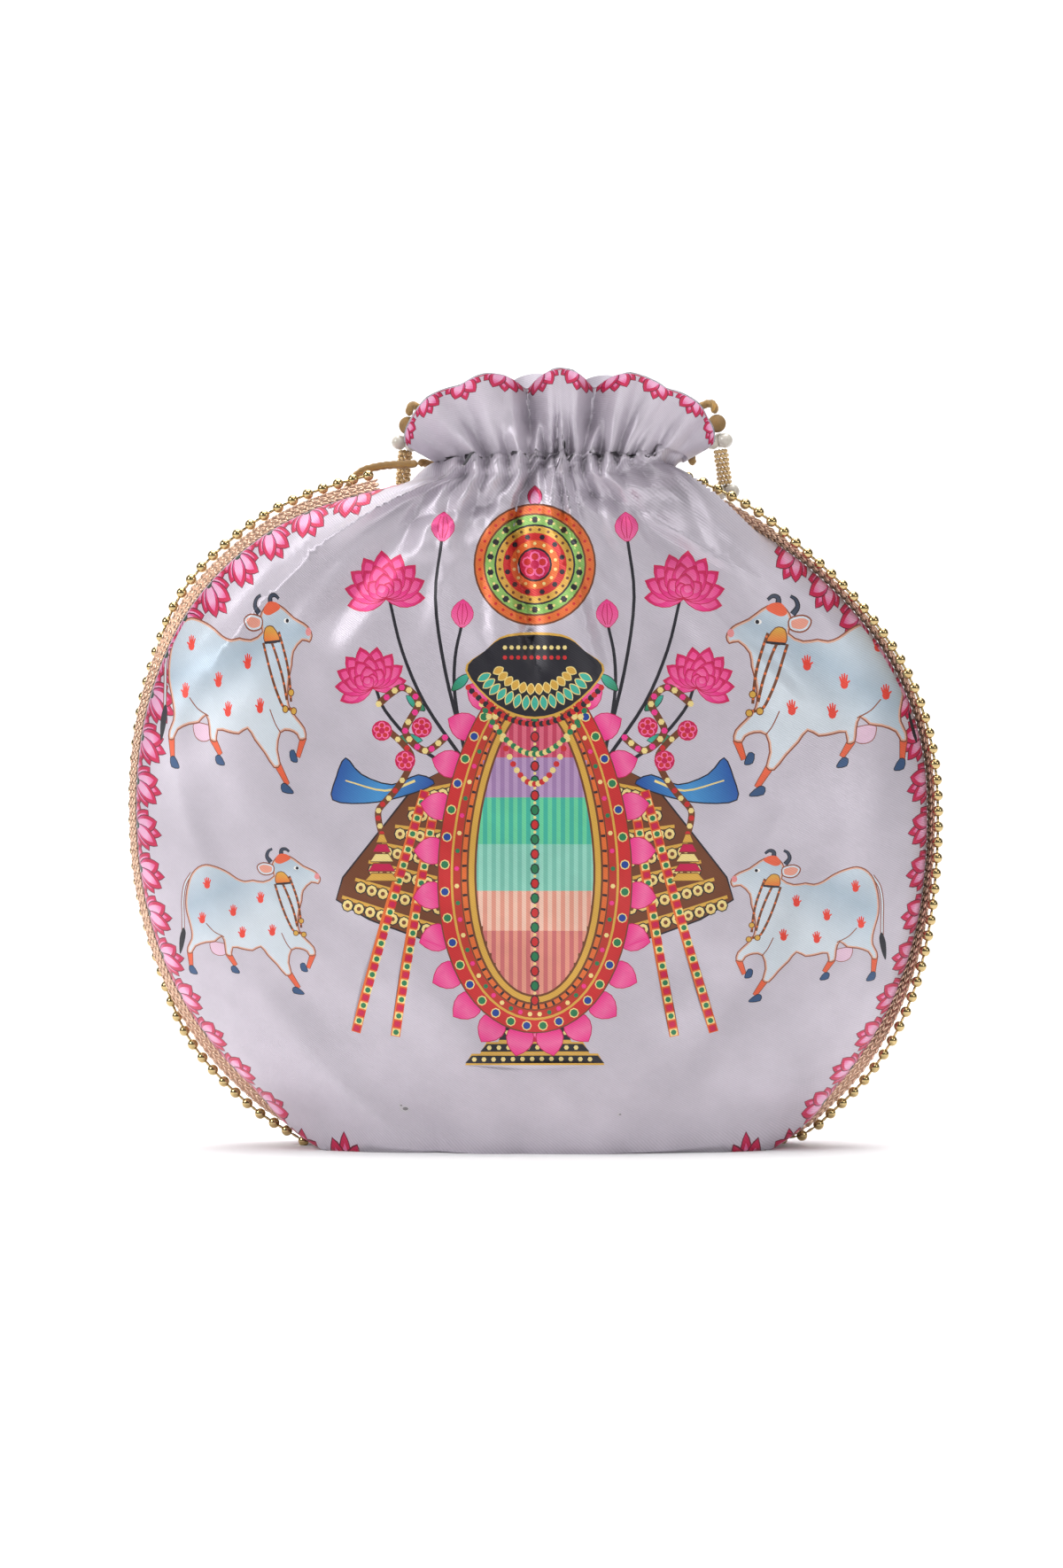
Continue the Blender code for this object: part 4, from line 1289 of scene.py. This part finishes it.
def uv_map(mesh, name, places):
    """A UV map with a place for each of the mesh's points."""
    of_corner = np.zeros(len(mesh.loops), np.int32)
    mesh.loops.foreach_get("vertex_index", of_corner)
    uvs = mesh.uv_layers.new(name=name)
    uvs.data.foreach_set("uv", places[of_corner].ravel())


def sew_panel(name, side, shapes, finish):
    """A panel as one closed wall: its printed outside, its lining and its edges."""
    across, up, triangles, colours, ring = drawn_cloth(shapes, PRINT_STEP)
    outside = cloth_points(side, across, up)
    normals = cloth_normals(side, across, up)
    in_across, in_up, in_triangles, _, in_ring = drawn_cloth([], LINING_STEP)
    in_normals = cloth_normals(side, in_across, in_up)
    wall = WALL + (RIM_WALL - WALL) * smooth_step((in_up - 1.5) / 0.5)
    inside = cloth_points(side, in_across, in_up)
    pouch = smooth_step((1.0 - in_up) / 0.06)
    depths = [side * cloth_points(side, in_across, in_up, relief=False)[:, 1] - SLACK]
    for beside in (-0.045, -0.025, 0.0, 0.025, 0.045):
        depths.append(side * cloth_points(side, in_across + beside, in_up)[:, 1])
    inside[:, 1] += (np.min(depths, axis=0) * side - inside[:, 1]) * pouch
    inside -= in_normals * wall[:, None]
    inside[:, 1] = side * np.maximum(side * inside[:, 1], SEAM_GAP / 2)
    in_ring = in_ring + len(outside)
    outer, inner = triangles.tolist(), (in_triangles[:, ::-1] + len(outside)).tolist()
    edge = np.stack([ring, in_ring, np.roll(in_ring, -1), np.roll(ring, -1)], 1).tolist()
    if side > 0:
        outer, inner, edge = ([f[::-1] for f in faces] for faces in (outer, inner, edge))
        colours = colours[:, ::-1]
    mesh = bpy.data.meshes.new(name)
    points = np.vstack([outside, inside])
    mesh.from_pydata(points.tolist(), [], [*outer, *inner, *edge])
    corner_colours = np.tile(np.array((*SATIN_WHITE, 1.0)), (len(mesh.loops), 1))
    corner_colours[: colours.size // 3, :3] = colours.reshape(-1, 3)
    layer = mesh.color_attributes.new("print", "FLOAT_COLOR", "CORNER")
    layer.data.foreach_set("color", corner_colours.ravel())
    flat = np.vstack([flat_from_cloth(across, up), flat_from_cloth(in_across, in_up)])
    uv_map(mesh, "cloth", flat * 10)
    mesh.shade_smooth()
    mesh.normals_split_custom_set_from_vertices(np.vstack([normals, -in_normals]).tolist())
    mesh.materials.append(finish)
    return in_scene(name, mesh)


# Shader groups and finishes


def node_tree(name, kind, inputs, outputs):
    """An empty node group with its sockets; each input is (name, kind, default).
    Returns the group, its given sockets by name and its node of results."""
    tree = bpy.data.node_groups.new(name, kind)
    for label, sort, default in inputs:
        socket = tree.interface.new_socket(
            label, in_out="INPUT", socket_type="NodeSocket" + sort
        )
        if default is not None:
            socket.default_value = default
    for label, sort in outputs:
        tree.interface.new_socket(label, in_out="OUTPUT", socket_type="NodeSocket" + sort)
    given = tree.nodes.new("NodeGroupInput").outputs
    return tree, given, tree.nodes.new("NodeGroupOutput")


def wired(tree, kind, inputs, **settings):
    """A new node with its settings; each input is a socket to link or a plain value."""
    node = tree.nodes.new(kind)
    for name, value in settings.items():
        setattr(node, name, value)
    for name, value in inputs.items():
        if isinstance(value, bpy.types.NodeSocket):
            tree.links.new(value, node.inputs[name])
        else:
            node.inputs[name].default_value = value
    return node


def feed(tree, node, **sockets):
    """Links sockets to a node's inputs; an underscore stands for a space."""
    for name, socket in sockets.items():
        tree.links.new(socket, node.inputs[name.replace("_", " ")])


def math_node(tree, operation, a, b):
    """A sum or product of sockets or numbers."""
    return wired(tree, "ShaderNodeMath", {0: a, 1: b}, operation=operation).outputs[0]


def mixed_colour(tree, factor, a, b, blend="MIX"):
    """A colour mix; factor, a and b are sockets or values."""
    inputs = {0: factor, 6: a, 7: b}
    return wired(tree, "ShaderNodeMix", inputs, data_type="RGBA", blend_type=blend).outputs[2]


def noise(tree, vector, scale, detail=2.0, roughness=0.5):
    """Noise on a vector."""
    inputs = {"Vector": vector, "Scale": scale, "Detail": detail, "Roughness": roughness}
    return wired(tree, "ShaderNodeTexNoise", inputs).outputs["Fac"]


def wave(tree, vector, scale, distortion, detail):
    """Even waves on a vector, for ribs and threads."""
    inputs = {"Vector": vector, "Scale": scale, "Distortion": distortion, "Detail": detail}
    return wired(tree, "ShaderNodeTexWave", inputs).outputs["Fac"]


def map_range(tree, value, source, target):
    """The value taken from one range to another, each given as (low, high)."""
    inputs = {"Value": value, "From Min": source[0], "From Max": source[1]}
    inputs.update({"To Min": target[0], "To Max": target[1]})
    return wired(tree, "ShaderNodeMapRange", inputs).outputs[0]


def satin_weave_and_painted_sheen_group():
    """Fine diagonal twill over a print, with soft cloudy patches of painted sheen and painted shade
    that lighten and darken its colour and change its gloss.
    """
    tree, given, result = node_tree(
        "satin weave",
        "ShaderNodeTree",
        [("Cloth", "Vector", None), ("Print", "Color", None), ("Ribs", "Float", 52.0)],
        [("Color", "Color"), ("Roughness", "Float"), ("Height", "Float")],
    )
    cloth = given["Cloth"]
    slant = {"Vector": cloth, "Rotation": (0, 0, math.radians(-55))}
    turned = wired(tree, "ShaderNodeMapping", slant).outputs[0]
    ribs = math_node(tree, "MULTIPLY", wave(tree, turned, given["Ribs"], 0.6, 1.0), 0.6)
    slub = math_node(tree, "MULTIPLY", noise(tree, cloth, 160.0, 3.0, 0.6), 0.5)
    height = math_node(tree, "ADD", ribs, slub)
    # Cloudy patches of painted sheen and painted shade: they lighten and darken the print's colour, and
    # the lighter ones are also glossier
    cloud = noise(tree, cloth, 3.6, 4.0, 0.62)
    shade = map_range(tree, cloud, (0.32, 0.68), (0.90, 1.06))
    threads = map_range(tree, height, (0.0, 1.0), (0.82, 1.08))
    # The painted sheen and shade, times the twill's thread tones, over the print
    both = math_node(tree, "MULTIPLY", shade, threads)
    toned = mixed_colour(tree, 1.0, given["Print"], both, "MULTIPLY")
    gloss = map_range(tree, cloud, (0.3, 0.7), (0.43, 0.35))
    feed(tree, result, Color=toned, Roughness=gloss, Height=height)
    return tree


def thread_wrap_group():
    """Fine threads laid round a cord or ball, for their height and tone."""
    tree, given, result = node_tree(
        "wound thread",
        "ShaderNodeTree",
        [("Place", "Vector", None), ("Threads", "Float", 40.0)],
        [("Height", "Float"), ("Tone", "Float")],
    )
    threads = wave(tree, given["Place"], given["Threads"], 1.2, 2.0)
    worn = noise(tree, given["Place"], 9.0, 3.0, 0.6)
    feed(tree, result, Height=threads, Tone=math_node(tree, "MULTIPLY", threads, worn))
    return tree


def finish_base(name, levels):
    """A material with these levels on its shader; returns (material, nodes, shader)."""
    made = bpy.data.materials.new(name)
    made.use_nodes = True
    shader = made.node_tree.nodes["Principled BSDF"]
    for socket, level in levels.items():
        shader.inputs[socket].default_value = level
    return made, made.node_tree, shader


def grained_finish(name, dark, light, levels, grain=900.0, detail=2.0):
    """A material whose two tones are mixed by a fine grain on the piece itself."""
    made, tree, shader = finish_base(name, levels)
    place = tree.nodes.new("ShaderNodeTexCoord").outputs["Object"]
    tone = noise(tree, place, grain, detail)
    feed(tree, shader, Base_Color=mixed_colour(tree, tone, (*dark, 1), (*light, 1)))
    return made


def on_uv_map(tree, group, uv_name):
    """A shared group in a material, fed with the piece's own UV map."""
    node = tree.nodes.new("ShaderNodeGroup")
    node.node_tree = group
    place = wired(tree, "ShaderNodeUVMap", {}, uv_map=uv_name)
    tree.links.new(place.outputs[0], node.inputs[0])
    return node


def bump(tree, shader, height, strength, distance):
    """A bump that feeds the shader's normal."""
    inputs = {"Strength": strength, "Distance": distance, "Height": height}
    feed(tree, shader, Normal=wired(tree, "ShaderNodeBump", inputs).outputs[0])


def printed_satin(weave_and_painted_sheen):
    """White satin that takes its print from the cloth's own colours, with the group's painted sheen and
    shade over it.
    """
    levels = {"Metallic": 0.32, "Specular IOR Level": 0.75}
    levels.update({"Sheen Weight": 0.25, "Sheen Roughness": 0.4})
    made, tree, shader = finish_base("printed satin", levels)
    cloth = on_uv_map(tree, weave_and_painted_sheen, "cloth")
    dyed = wired(tree, "ShaderNodeAttribute", {}, attribute_name="print")
    feed(tree, cloth, Print=dyed.outputs["Color"])
    seen = cloth.outputs
    feed(tree, shader, Base_Color=seen["Color"], Roughness=seen["Roughness"])
    bump(tree, shader, seen["Height"], 0.45, 0.00016)
    return made


def gold_thread_finish(wrap):
    """Twisted antique gold thread."""
    levels = {"Roughness": 0.42, "Metallic": 0.35, "Sheen Weight": 0.3}
    made, tree, shader = finish_base("gold thread", levels)
    thread = on_uv_map(tree, wrap, "thread")
    dark, light = (0.64, 0.31, 0.05, 1), (1.0, 0.67, 0.18, 1)
    tone = mixed_colour(tree, thread.outputs["Tone"], dark, light)
    feed(tree, shader, Base_Color=tone)
    bump(tree, shader, thread.outputs["Height"], 1.0, 0.00020)
    return made


def make_finishes():
    """Every material of the bag but the satin, by name."""
    wrap = thread_wrap_group()
    finishes = {"thread": gold_thread_finish(wrap), "ball": gold_thread_finish(wrap)}
    for key, name, dark, light, levels, grain in (
        (
            "yarn", "rose gold yarn", (0.50, 0.28, 0.19), (0.98, 0.72, 0.54),
            {"Roughness": 0.24, "Metallic": 0.7}, (900.0, 2.0),
        ),
        (
            "ground", "braid ground", (0.26, 0.13, 0.09), (0.56, 0.36, 0.25),
            {"Roughness": 0.4, "Metallic": 1.0}, (900.0, 2.0),
        ),
        (
            "gold", "pale gold plate", (0.40, 0.28, 0.11), (0.70, 0.54, 0.28),
            {"Roughness": 0.16, "Metallic": 1.0}, (900.0, 2.0),
        ),
        (
            "pearl", "pearl", (0.48, 0.44, 0.37), (0.66, 0.62, 0.55),
            {"Roughness": 0.22, "Coat Weight": 0.6, "Coat Roughness": 0.08,
             "Sheen Weight": 0.2}, (350.0, 2.0),
        ),
        (
            "glass", "gold-lined glass", (0.42, 0.18, 0.02), (1.0, 0.82, 0.44),
            {"Roughness": 0.12, "Metallic": 0.45, "Coat Weight": 0.7,
             "Coat Roughness": 0.05}, (1400.0, 1.0),
        ),
    ):
        finishes[key] = grained_finish(name, dark, light, levels, *grain)
    return finishes


# The seam's trim


def turned_out(outward, turn):
    """The way that lies this far back from straight out, along the seam."""
    return outward * np.cos(turn) + np.array((0, 1, 0)) * np.sin(turn)


def seam_frames(spacing):
    """Places along the seam from the neck's left side round the bottom to its right,
    with the way along the seam and the ways that the tape and the balls lean."""
    ups = np.linspace(0.0, TRIM_END, 900)
    middle, half, height = seam_line(ups)
    left = np.stack([middle - half, 0 * ups, height], -1)[::-1]
    base = np.linspace(left[-1], (middle[0] + half[0], 0, height[0]), 300)
    right = np.stack([middle + half, 0 * ups, height], -1)
    line = np.vstack([left, base[1:-1], right])
    lengths = run_lengths(line)
    count = int(round(lengths[-1] / spacing))
    share = (np.arange(count) + 0.5) / count
    goal = share * lengths[-1]
    behind, start, front = (along_line(line, lengths, goal + d) for d in (-0.004, 0, 0.004))
    ahead = unit(front - behind)
    outward = np.cross((0, 1, 0), ahead)
    turn = np.radians(np.interp(share, TWIST_AT, TWIST_ROWS[:, 1]))
    start = start + outward * (FIT_GAP + TAPE_THICKNESS / 2)
    tucked = smooth_step((share - 0.09) / 0.05) * (1 - smooth_step((share - 0.27) / 0.06))
    ball_turn = turn + BALL_TUCK * tucked
    return start, ahead, *(turned_out(outward, t[:, None]) for t in (turn, ball_turn))


def point_cloud(name, places, ahead, upward):
    """A mesh of loose points that carry their own ways, for a Geometry Nodes tree."""
    mesh = bpy.data.meshes.new(name)
    mesh.from_pydata(places.tolist(), [], [])
    for label, values in (("ahead", ahead), ("upward", upward)):
        layer = mesh.attributes.new(label, "FLOAT_VECTOR", "POINT")
        layer.data.foreach_set("vector", np.asarray(values, float).ravel())
    return in_scene(name, mesh)


def bead_tree(name):
    """Geometry Nodes: a rounded bead on each point, turned by the point's own ways."""
    inputs = [("Geometry", "Geometry", None)]
    inputs += [(side, "Float", 0.001) for side in ("Length", "Width", "Thickness")]
    inputs += [("Sides", "Int", 8), ("Rings", "Int", 6), ("Finish", "Material", None)]
    tree, given, result = node_tree(
        name, "GeometryNodeTree", inputs, [("Geometry", "Geometry")]
    )
    sphere = {"Segments": given["Sides"], "Rings": given["Rings"], "Radius": 0.5}
    bead = wired(tree, "GeometryNodeMeshUVSphere", sphere)
    sides = {"X": given["Width"], "Y": given["Thickness"], "Z": given["Length"]}
    size = wired(tree, "ShaderNodeCombineXYZ", sides).outputs[0]
    shaped = {"Geometry": bead.outputs["Mesh"], "Scale": size}
    shaped = wired(tree, "GeometryNodeTransform", shaped).outputs[0]
    smooth = wired(tree, "GeometryNodeSetShadeSmooth", {"Geometry": shaped}).outputs[0]
    kind = "GeometryNodeInputNamedAttribute"
    ways = {
        axis: wired(tree, kind, {"Name": label}, data_type="FLOAT_VECTOR").outputs["Attribute"]
        for axis, label in (("Primary Axis", "ahead"), ("Secondary Axis", "upward"))
    }
    axes = {"primary_axis": "Z", "secondary_axis": "Y"}
    turn = wired(tree, "FunctionNodeAxesToRotation", ways, **axes).outputs[0]
    placed = {"Points": given["Geometry"], "Instance": smooth, "Rotation": turn}
    placed = wired(tree, "GeometryNodeInstanceOnPoints", placed).outputs[0]
    real = wired(tree, "GeometryNodeRealizeInstances", {0: placed}).outputs[0]
    coat = {"Geometry": real, "Material": given["Finish"]}
    feed(tree, result, Geometry=wired(tree, "GeometryNodeSetMaterial", coat).outputs[0])
    return tree


def beads_on(points, tree, finish, size, sides=8, rings=6):
    """The plain mesh that a bead tree makes on a cloud of points, from the length, width
    and thickness of each bead."""
    modifier = points.modifiers.new("beads", "NODES")
    modifier.node_group = tree
    values = dict(zip(("Length", "Width", "Thickness"), size))
    values.update({"Sides": sides, "Rings": rings, "Finish": finish})
    for item in tree.interface.items_tree:
        if item.in_out == "INPUT" and item.name in values:
            modifier[item.identifier] = values[item.name]
    bpy.context.view_layer.update()
    graph = bpy.context.evaluated_depsgraph_get()
    mesh = bpy.data.meshes.new_from_object(points.evaluated_get(graph))
    mesh.name = points.name
    made = in_scene(points.name + "_beads", mesh)
    bpy.data.objects.remove(points)
    return made


def fused(name, objects):
    """Several objects as one."""
    bpy.ops.object.select_all(action="DESELECT")
    for piece in objects:
        piece.select_set(True)
    bpy.context.view_layer.objects.active = objects[0]
    bpy.ops.object.join()
    made = bpy.context.view_layer.objects.active
    made.name = name
    made.data.name = name
    return made


def make_braid(bead, yarn, ground):
    """The chain-stitched tape along the seam: slanted stitches over a ground strip."""
    rows = []
    for k, (out, degrees) in enumerate(BRAID_ROWS):
        start, ahead, lean, _ = seam_frames(STITCH_PITCH)
        slant = math.radians(degrees)
        way = ahead * math.cos(slant) + lean * math.sin(slant)
        places = start + lean * TAPE_WIDTH * out
        cloud = point_cloud(f"row_{k}", places, way, np.cross(ahead, lean))
        rows.append(beads_on(cloud, bead, yarn, STITCH))
    start, ahead, lean, _ = seam_frames(0.003)
    flat = np.cross(ahead, lean) * 0.00028
    inner, outer = start - lean * TAPE_WIDTH * 0.2, start + lean * TAPE_WIDTH * 0.86
    corners = [inner - flat, outer - flat, outer + flat, inner + flat]
    rows.append(strip("ground", corners, ground))
    return fused("braid", rows)


def strip(name, corners, finish):
    """A bar that runs through sections given as four or more lines of corners."""
    count, sides = len(corners[0]), len(corners)
    points = np.stack(corners, 1).reshape(-1, 3)
    ring = [(i, (i + 1) % sides) for i in range(sides)]
    steps = [(k * sides, (k + 1) * sides) for k in range(count - 1)]
    faces = [(low + i, low + j, high + j, high + i) for low, high in steps for i, j in ring]
    faces += [tuple(range(sides))[::-1], tuple(range((count - 1) * sides, count * sides))]
    mesh = bpy.data.meshes.new(name)
    mesh.from_pydata(points.tolist(), [], faces)
    turned = bmesh.new()
    turned.from_mesh(mesh)
    bmesh.ops.recalc_face_normals(turned, faces=turned.faces)
    turned.to_mesh(mesh)
    turned.free()
    mesh.materials.append(finish)
    return in_scene(name, mesh)


def make_ball_edging(bead, gold):
    """Small gold balls on short links, outside the braid."""
    start, ahead, lean, ball_lean = seam_frames(BALL_PITCH)
    centres = start + lean * TAPE_WIDTH + ball_lean * (FIT_GAP + BALL_DIAMETER / 2)
    cloud = point_cloud("balls", centres, ahead, lean)
    balls = beads_on(cloud, bead, gold, [BALL_DIAMETER + 2 * PLATING] * 3, 16, 10)
    along = unit(centres[1:] - centres[:-1])
    cloud = point_cloud("links", (centres[:-1] + centres[1:]) / 2, along, lean[:-1])
    return fused("ball_trim", [balls, beads_on(cloud, bead, gold, LINK)])


# Cords and tassels


def threaded(name, lines, finish, uv):
    """A smooth tube through lines of points, with a UV map for its thread."""
    made = strip(name, lines, finish)
    uv_map(made.data, "thread", uv)
    made.data.shade_smooth()
    return made


def twisted_cord(name, route, finish):
    """A rope of twisted strands along a route, as one closed tube, and its line."""
    fine = bent_line(route, 24)
    lengths = run_lengths(fine)
    goal = np.linspace(0, lengths[-1], int(lengths[-1] / CORD_SPACING))
    line = along_line(fine, lengths, goal)
    ahead = unit(np.gradient(line, axis=0))
    side = np.cross(ahead[0], (0, 1, 0.01))
    sideways = []
    for way in ahead:
        side = unit(side - way * np.dot(side, way))
        sideways.append(side)
    side = np.array(sideways)
    turn = np.linspace(0, 2 * math.pi, CORD_SIDES, endpoint=False)
    twist = goal[:, None] / CORD_TWIST * 2 * math.pi
    lobes = np.abs(np.cos((turn[None] - twist) * CORD_STRANDS / 2))
    radius = CORD_DIAMETER / 2 * (1 - GROOVE_DEPTH + GROOVE_DEPTH * lobes)
    ends = np.minimum(goal, goal[-1] - goal) / CORD_END
    radius = radius * np.sqrt(np.clip(ends, 0.06, 1.0))[:, None]
    ring = side[:, None] * np.cos(turn)[None, :, None]
    ring = ring + np.cross(ahead, side)[:, None] * np.sin(turn)[None, :, None]
    points = line[:, None] + ring * radius[..., None]
    along, around = np.repeat(goal, CORD_SIDES), np.tile(turn / (2 * math.pi), len(goal))
    uv = np.stack([along * 300 - around * 0.9, around * 0.4], -1)
    return threaded(name, [points[:, i] for i in range(CORD_SIDES)], finish, uv), line


def round_axis(axis, turns):
    """The ways that look out from an axis at these turns."""
    side = unit(np.cross(axis, (0.3, 1, 0.1)))
    other = np.cross(axis, side)
    return side[None] * np.cos(turns)[:, None] + other[None] * np.sin(turns)[:, None]


def wound_ball(name, centre, axis, diameter, finish):
    """A ball with gold thread laid over it from pole to pole."""
    rows, sides = WOUND_ROWS, WOUND_SIDES
    rise = np.linspace(0.02, math.pi - 0.02, rows)
    lines = []
    for k in range(sides):
        groove = WOUND_DEPTH * (math.cos(k * math.pi * 2 / 3) - 1)
        radius = diameter / 2 * (1 + groove)
        out = round_axis(axis, 2 * math.pi * k / sides + 0.5 * rise)
        point = -axis[None] * np.cos(rise)[:, None] + out * np.sin(rise)[:, None]
        lines.append(centre + point * radius)
    around = np.tile(np.arange(sides) / sides, rows)
    uv = np.stack([around * 2.4, np.repeat(np.arange(rows) / rows, sides)], -1)
    return threaded(name, lines, finish, uv)


def ring_points(centre, axis, radius, count, phase):
    """Points evenly round an axis, and the ways that they look out."""
    out = round_axis(axis, 2 * math.pi * (np.arange(count) + phase) / count)
    return centre + out * radius, out


def make_tassel(hand, route, hang, bead, finishes):
    """One tassel: a wound ball, pearls, rings of seed beads, pearls and an end bead."""
    top, down = np.array(route[-1]), unit(np.array((*hang, -1.0)))
    centre = top + down * (FIT_GAP + WRAPPED_BALL / 2)
    ball = wound_ball(f"wound_ball_{hand}", centre, down, WRAPPED_BALL, finishes["ball"])
    pieces = {"wrapped_ball": ball}
    at = WRAPPED_BALL + PEARL / 2 + 2 * FIT_GAP
    around = PEARL / 2 / math.sin(math.pi / 3) * 0.9
    for place in ("upper_pearls", "lower_pearls"):
        centres, out = ring_points(top + down * at, down, around, 3, 0.2)
        cloud = point_cloud(f"{place}_{hand}_points", centres, out, [down] * 3)
        pieces[place] = beads_on(cloud, bead, finishes["pearl"], [PEARL] * 3, 24, 16)
        at += PEARL + FIT_GAP + BARREL_LENGTH
    middle = top + down * (WRAPPED_BALL + PEARL + 3 * FIT_GAP + BARREL_LENGTH / 2)
    clouds, outs = [], []
    for row in range(BARREL_RINGS):
        share = (row + 0.5) / BARREL_RINGS
        bulge = abs(math.sin(share * 2 * math.pi)) ** 0.6
        width = BARREL_WAIST + (BARREL_DIAMETER - BARREL_WAIST) * bulge
        centre = middle + down * (share - 0.5) * BARREL_LENGTH
        radius = width / 2 - SEED_INSET
        places, out = ring_points(centre, down, radius, RING_BEADS, row * 0.5)
        clouds.append(places)
        outs.append(np.cross(out, down))
    upward = np.tile(down, (BARREL_RINGS * RING_BEADS, 1))
    label = f"bead_barrel_{hand}_points"
    cloud = point_cloud(label, np.vstack(clouds), np.vstack(outs), upward)
    pieces["bead_barrel"] = beads_on(cloud, bead, finishes["glass"], SEED_BEAD)
    last = WRAPPED_BALL + 2 * PEARL + BARREL_LENGTH + 5 * FIT_GAP + END_BEAD / 2
    place = (top + down * last)[None]
    cloud = point_cloud(f"end_bead_{hand}_points", place, [down], [[1, 0, 0]])
    pieces["end_bead"] = beads_on(cloud, bead, finishes["glass"], [END_BEAD] * 3, 16, 12)
    for node, piece in pieces.items():
        piece.name = f"dressed_{node}_{hand}"
        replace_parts(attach(piece, "root"), f"{node}_{hand}")


# Floor, light and camera

FLOOR_REACH = 3.0
FLOOR_BACK = 0.9
BACKDROP_BEND = 0.6


def make_stage():
    """A pale floor that curves up into a backdrop."""
    made = finish_base("pale floor", {"Roughness": 0.75, "Base Color": (0.96, 0.96, 0.96, 1)})
    reach, back, radius = FLOOR_REACH, FLOOR_BACK, BACKDROP_BEND
    turns = np.linspace(0.1, math.pi / 2, 12)
    bend = [(back + radius * math.sin(t), radius * (1 - math.cos(t))) for t in turns]
    profile = [(-reach, 0.0), (back, 0.0), *bend, (back + radius, reach)]
    points = [(x, y, z) for y, z in profile for x in (-reach, reach)]
    faces = [(2 * k, 2 * k + 1, 2 * k + 3, 2 * k + 2) for k in range(len(profile) - 1)]
    mesh = bpy.data.meshes.new("backdrop")
    mesh.from_pydata(points, [], faces)
    mesh.materials.append(made[0])
    mesh.shade_smooth()
    in_scene("backdrop", mesh)


# Each light's name, place and aim, and its size and power
LIGHTS = [
    ("left softbox", (-1.20, -0.60, 0.85), (0, 0, 0.12), 0.55, 10),
    ("right softbox", (1.15, -0.80, 0.70), (0, 0, 0.10), 0.45, 3.0),
    ("front card", (0.35, -1.10, 1.30), (0, 0, 0.16), 0.60, 3.0),
    ("overhead", (0.0, 0.10, 1.70), (0, 0.15, 0.0), 1.5, 20),
    ("backdrop light", (0.0, 0.55, 2.2), (0, 1.5, 0.4), 1.6, 30),
]


def aim(made, way):
    """Turns a light or camera to look this way."""
    made.rotation_euler = Vector(way).to_track_quat("-Z", "Y").to_euler()


def make_light():
    """A white room with a key softbox on the upper left, a weak one on the right and
    wide ones over the floor and the backdrop."""
    world = bpy.data.worlds.new("white room")
    world.use_nodes = True
    world.node_tree.nodes["Background"].inputs[0].default_value = (0.96, 0.97, 1.0, 1)
    world.node_tree.nodes["Background"].inputs[1].default_value = 0.15
    bpy.context.scene.world = world
    bpy.context.scene.view_settings.view_transform = "Standard"
    for name, place, target, size, power in LIGHTS:
        light = bpy.data.lights.new(name, "AREA")
        light.energy, light.size = power, size
        made = in_scene(name, light)
        made.location = place
        aim(made, Vector(target) - Vector(place))


def make_camera():
    """A long lens at the photograph's slight downward angle and framing."""
    camera = bpy.data.cameras.new("camera")
    camera.sensor_fit = "VERTICAL"
    camera.sensor_height = 36.0
    camera.lens = camera.sensor_height * CAMERA_DISTANCE / (FRAME_HEIGHT * PIXEL)
    made = in_scene("camera", camera)
    side = (FRAME_WIDTH / 2 - POUCH_MIDDLE_COLUMN) * PIXEL
    middle = Vector((side, CAMERA_TARGET_DEPTH, (FLOOR_ROW - FRAME_HEIGHT / 2) * PIXEL))
    back = Vector((0, -math.cos(CAMERA_RISE), math.sin(CAMERA_RISE)))
    made.location = middle + back * CAMERA_DISTANCE
    aim(made, -back)
    bpy.context.scene.camera = made


def make_pouch(bead, finishes):
    """The two satin panels and the trim along their seam."""
    satin = printed_satin(satin_weave_and_painted_sheen_group())
    front = sew_panel("front_satin", -1, front_print(), satin)
    back = sew_panel("back_satin", 1, border_shapes(), satin)
    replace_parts(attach(front, "root"), "front_panel")
    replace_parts(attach(back, "root"), "back_panel")
    braid = make_braid(bead, finishes["yarn"], finishes["ground"])
    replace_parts(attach(braid, "root"), "edge_tape")
    balls = make_ball_edging(bead, finishes["gold"])
    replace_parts(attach(balls, "root"), "ball_edging")


def make_cords(thread):
    """The handle cord and the two ends of the drawcord."""
    for name, route in (
        ("handle_cord", HANDLE_ROUTE),
        ("tassel_cord_left", LEFT_TASSEL_ROUTE),
        ("tassel_cord_right", RIGHT_TASSEL_ROUTE),
    ):
        cord, line = twisted_cord("gold_" + name, route, thread)
        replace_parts(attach(cord, "root"), name)


def main():
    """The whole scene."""
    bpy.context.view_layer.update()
    make_camera()
    make_stage()
    make_light()
    finishes = make_finishes()
    bead = bead_tree("bead on each point")
    make_pouch(bead, finishes)
    make_cords(finishes["thread"])
    make_tassel("left", LEFT_TASSEL_ROUTE, (-0.10, 0.28), bead, finishes)
    make_tassel("right", RIGHT_TASSEL_ROUTE, (0.14, 0.10), bead, finishes)


main()
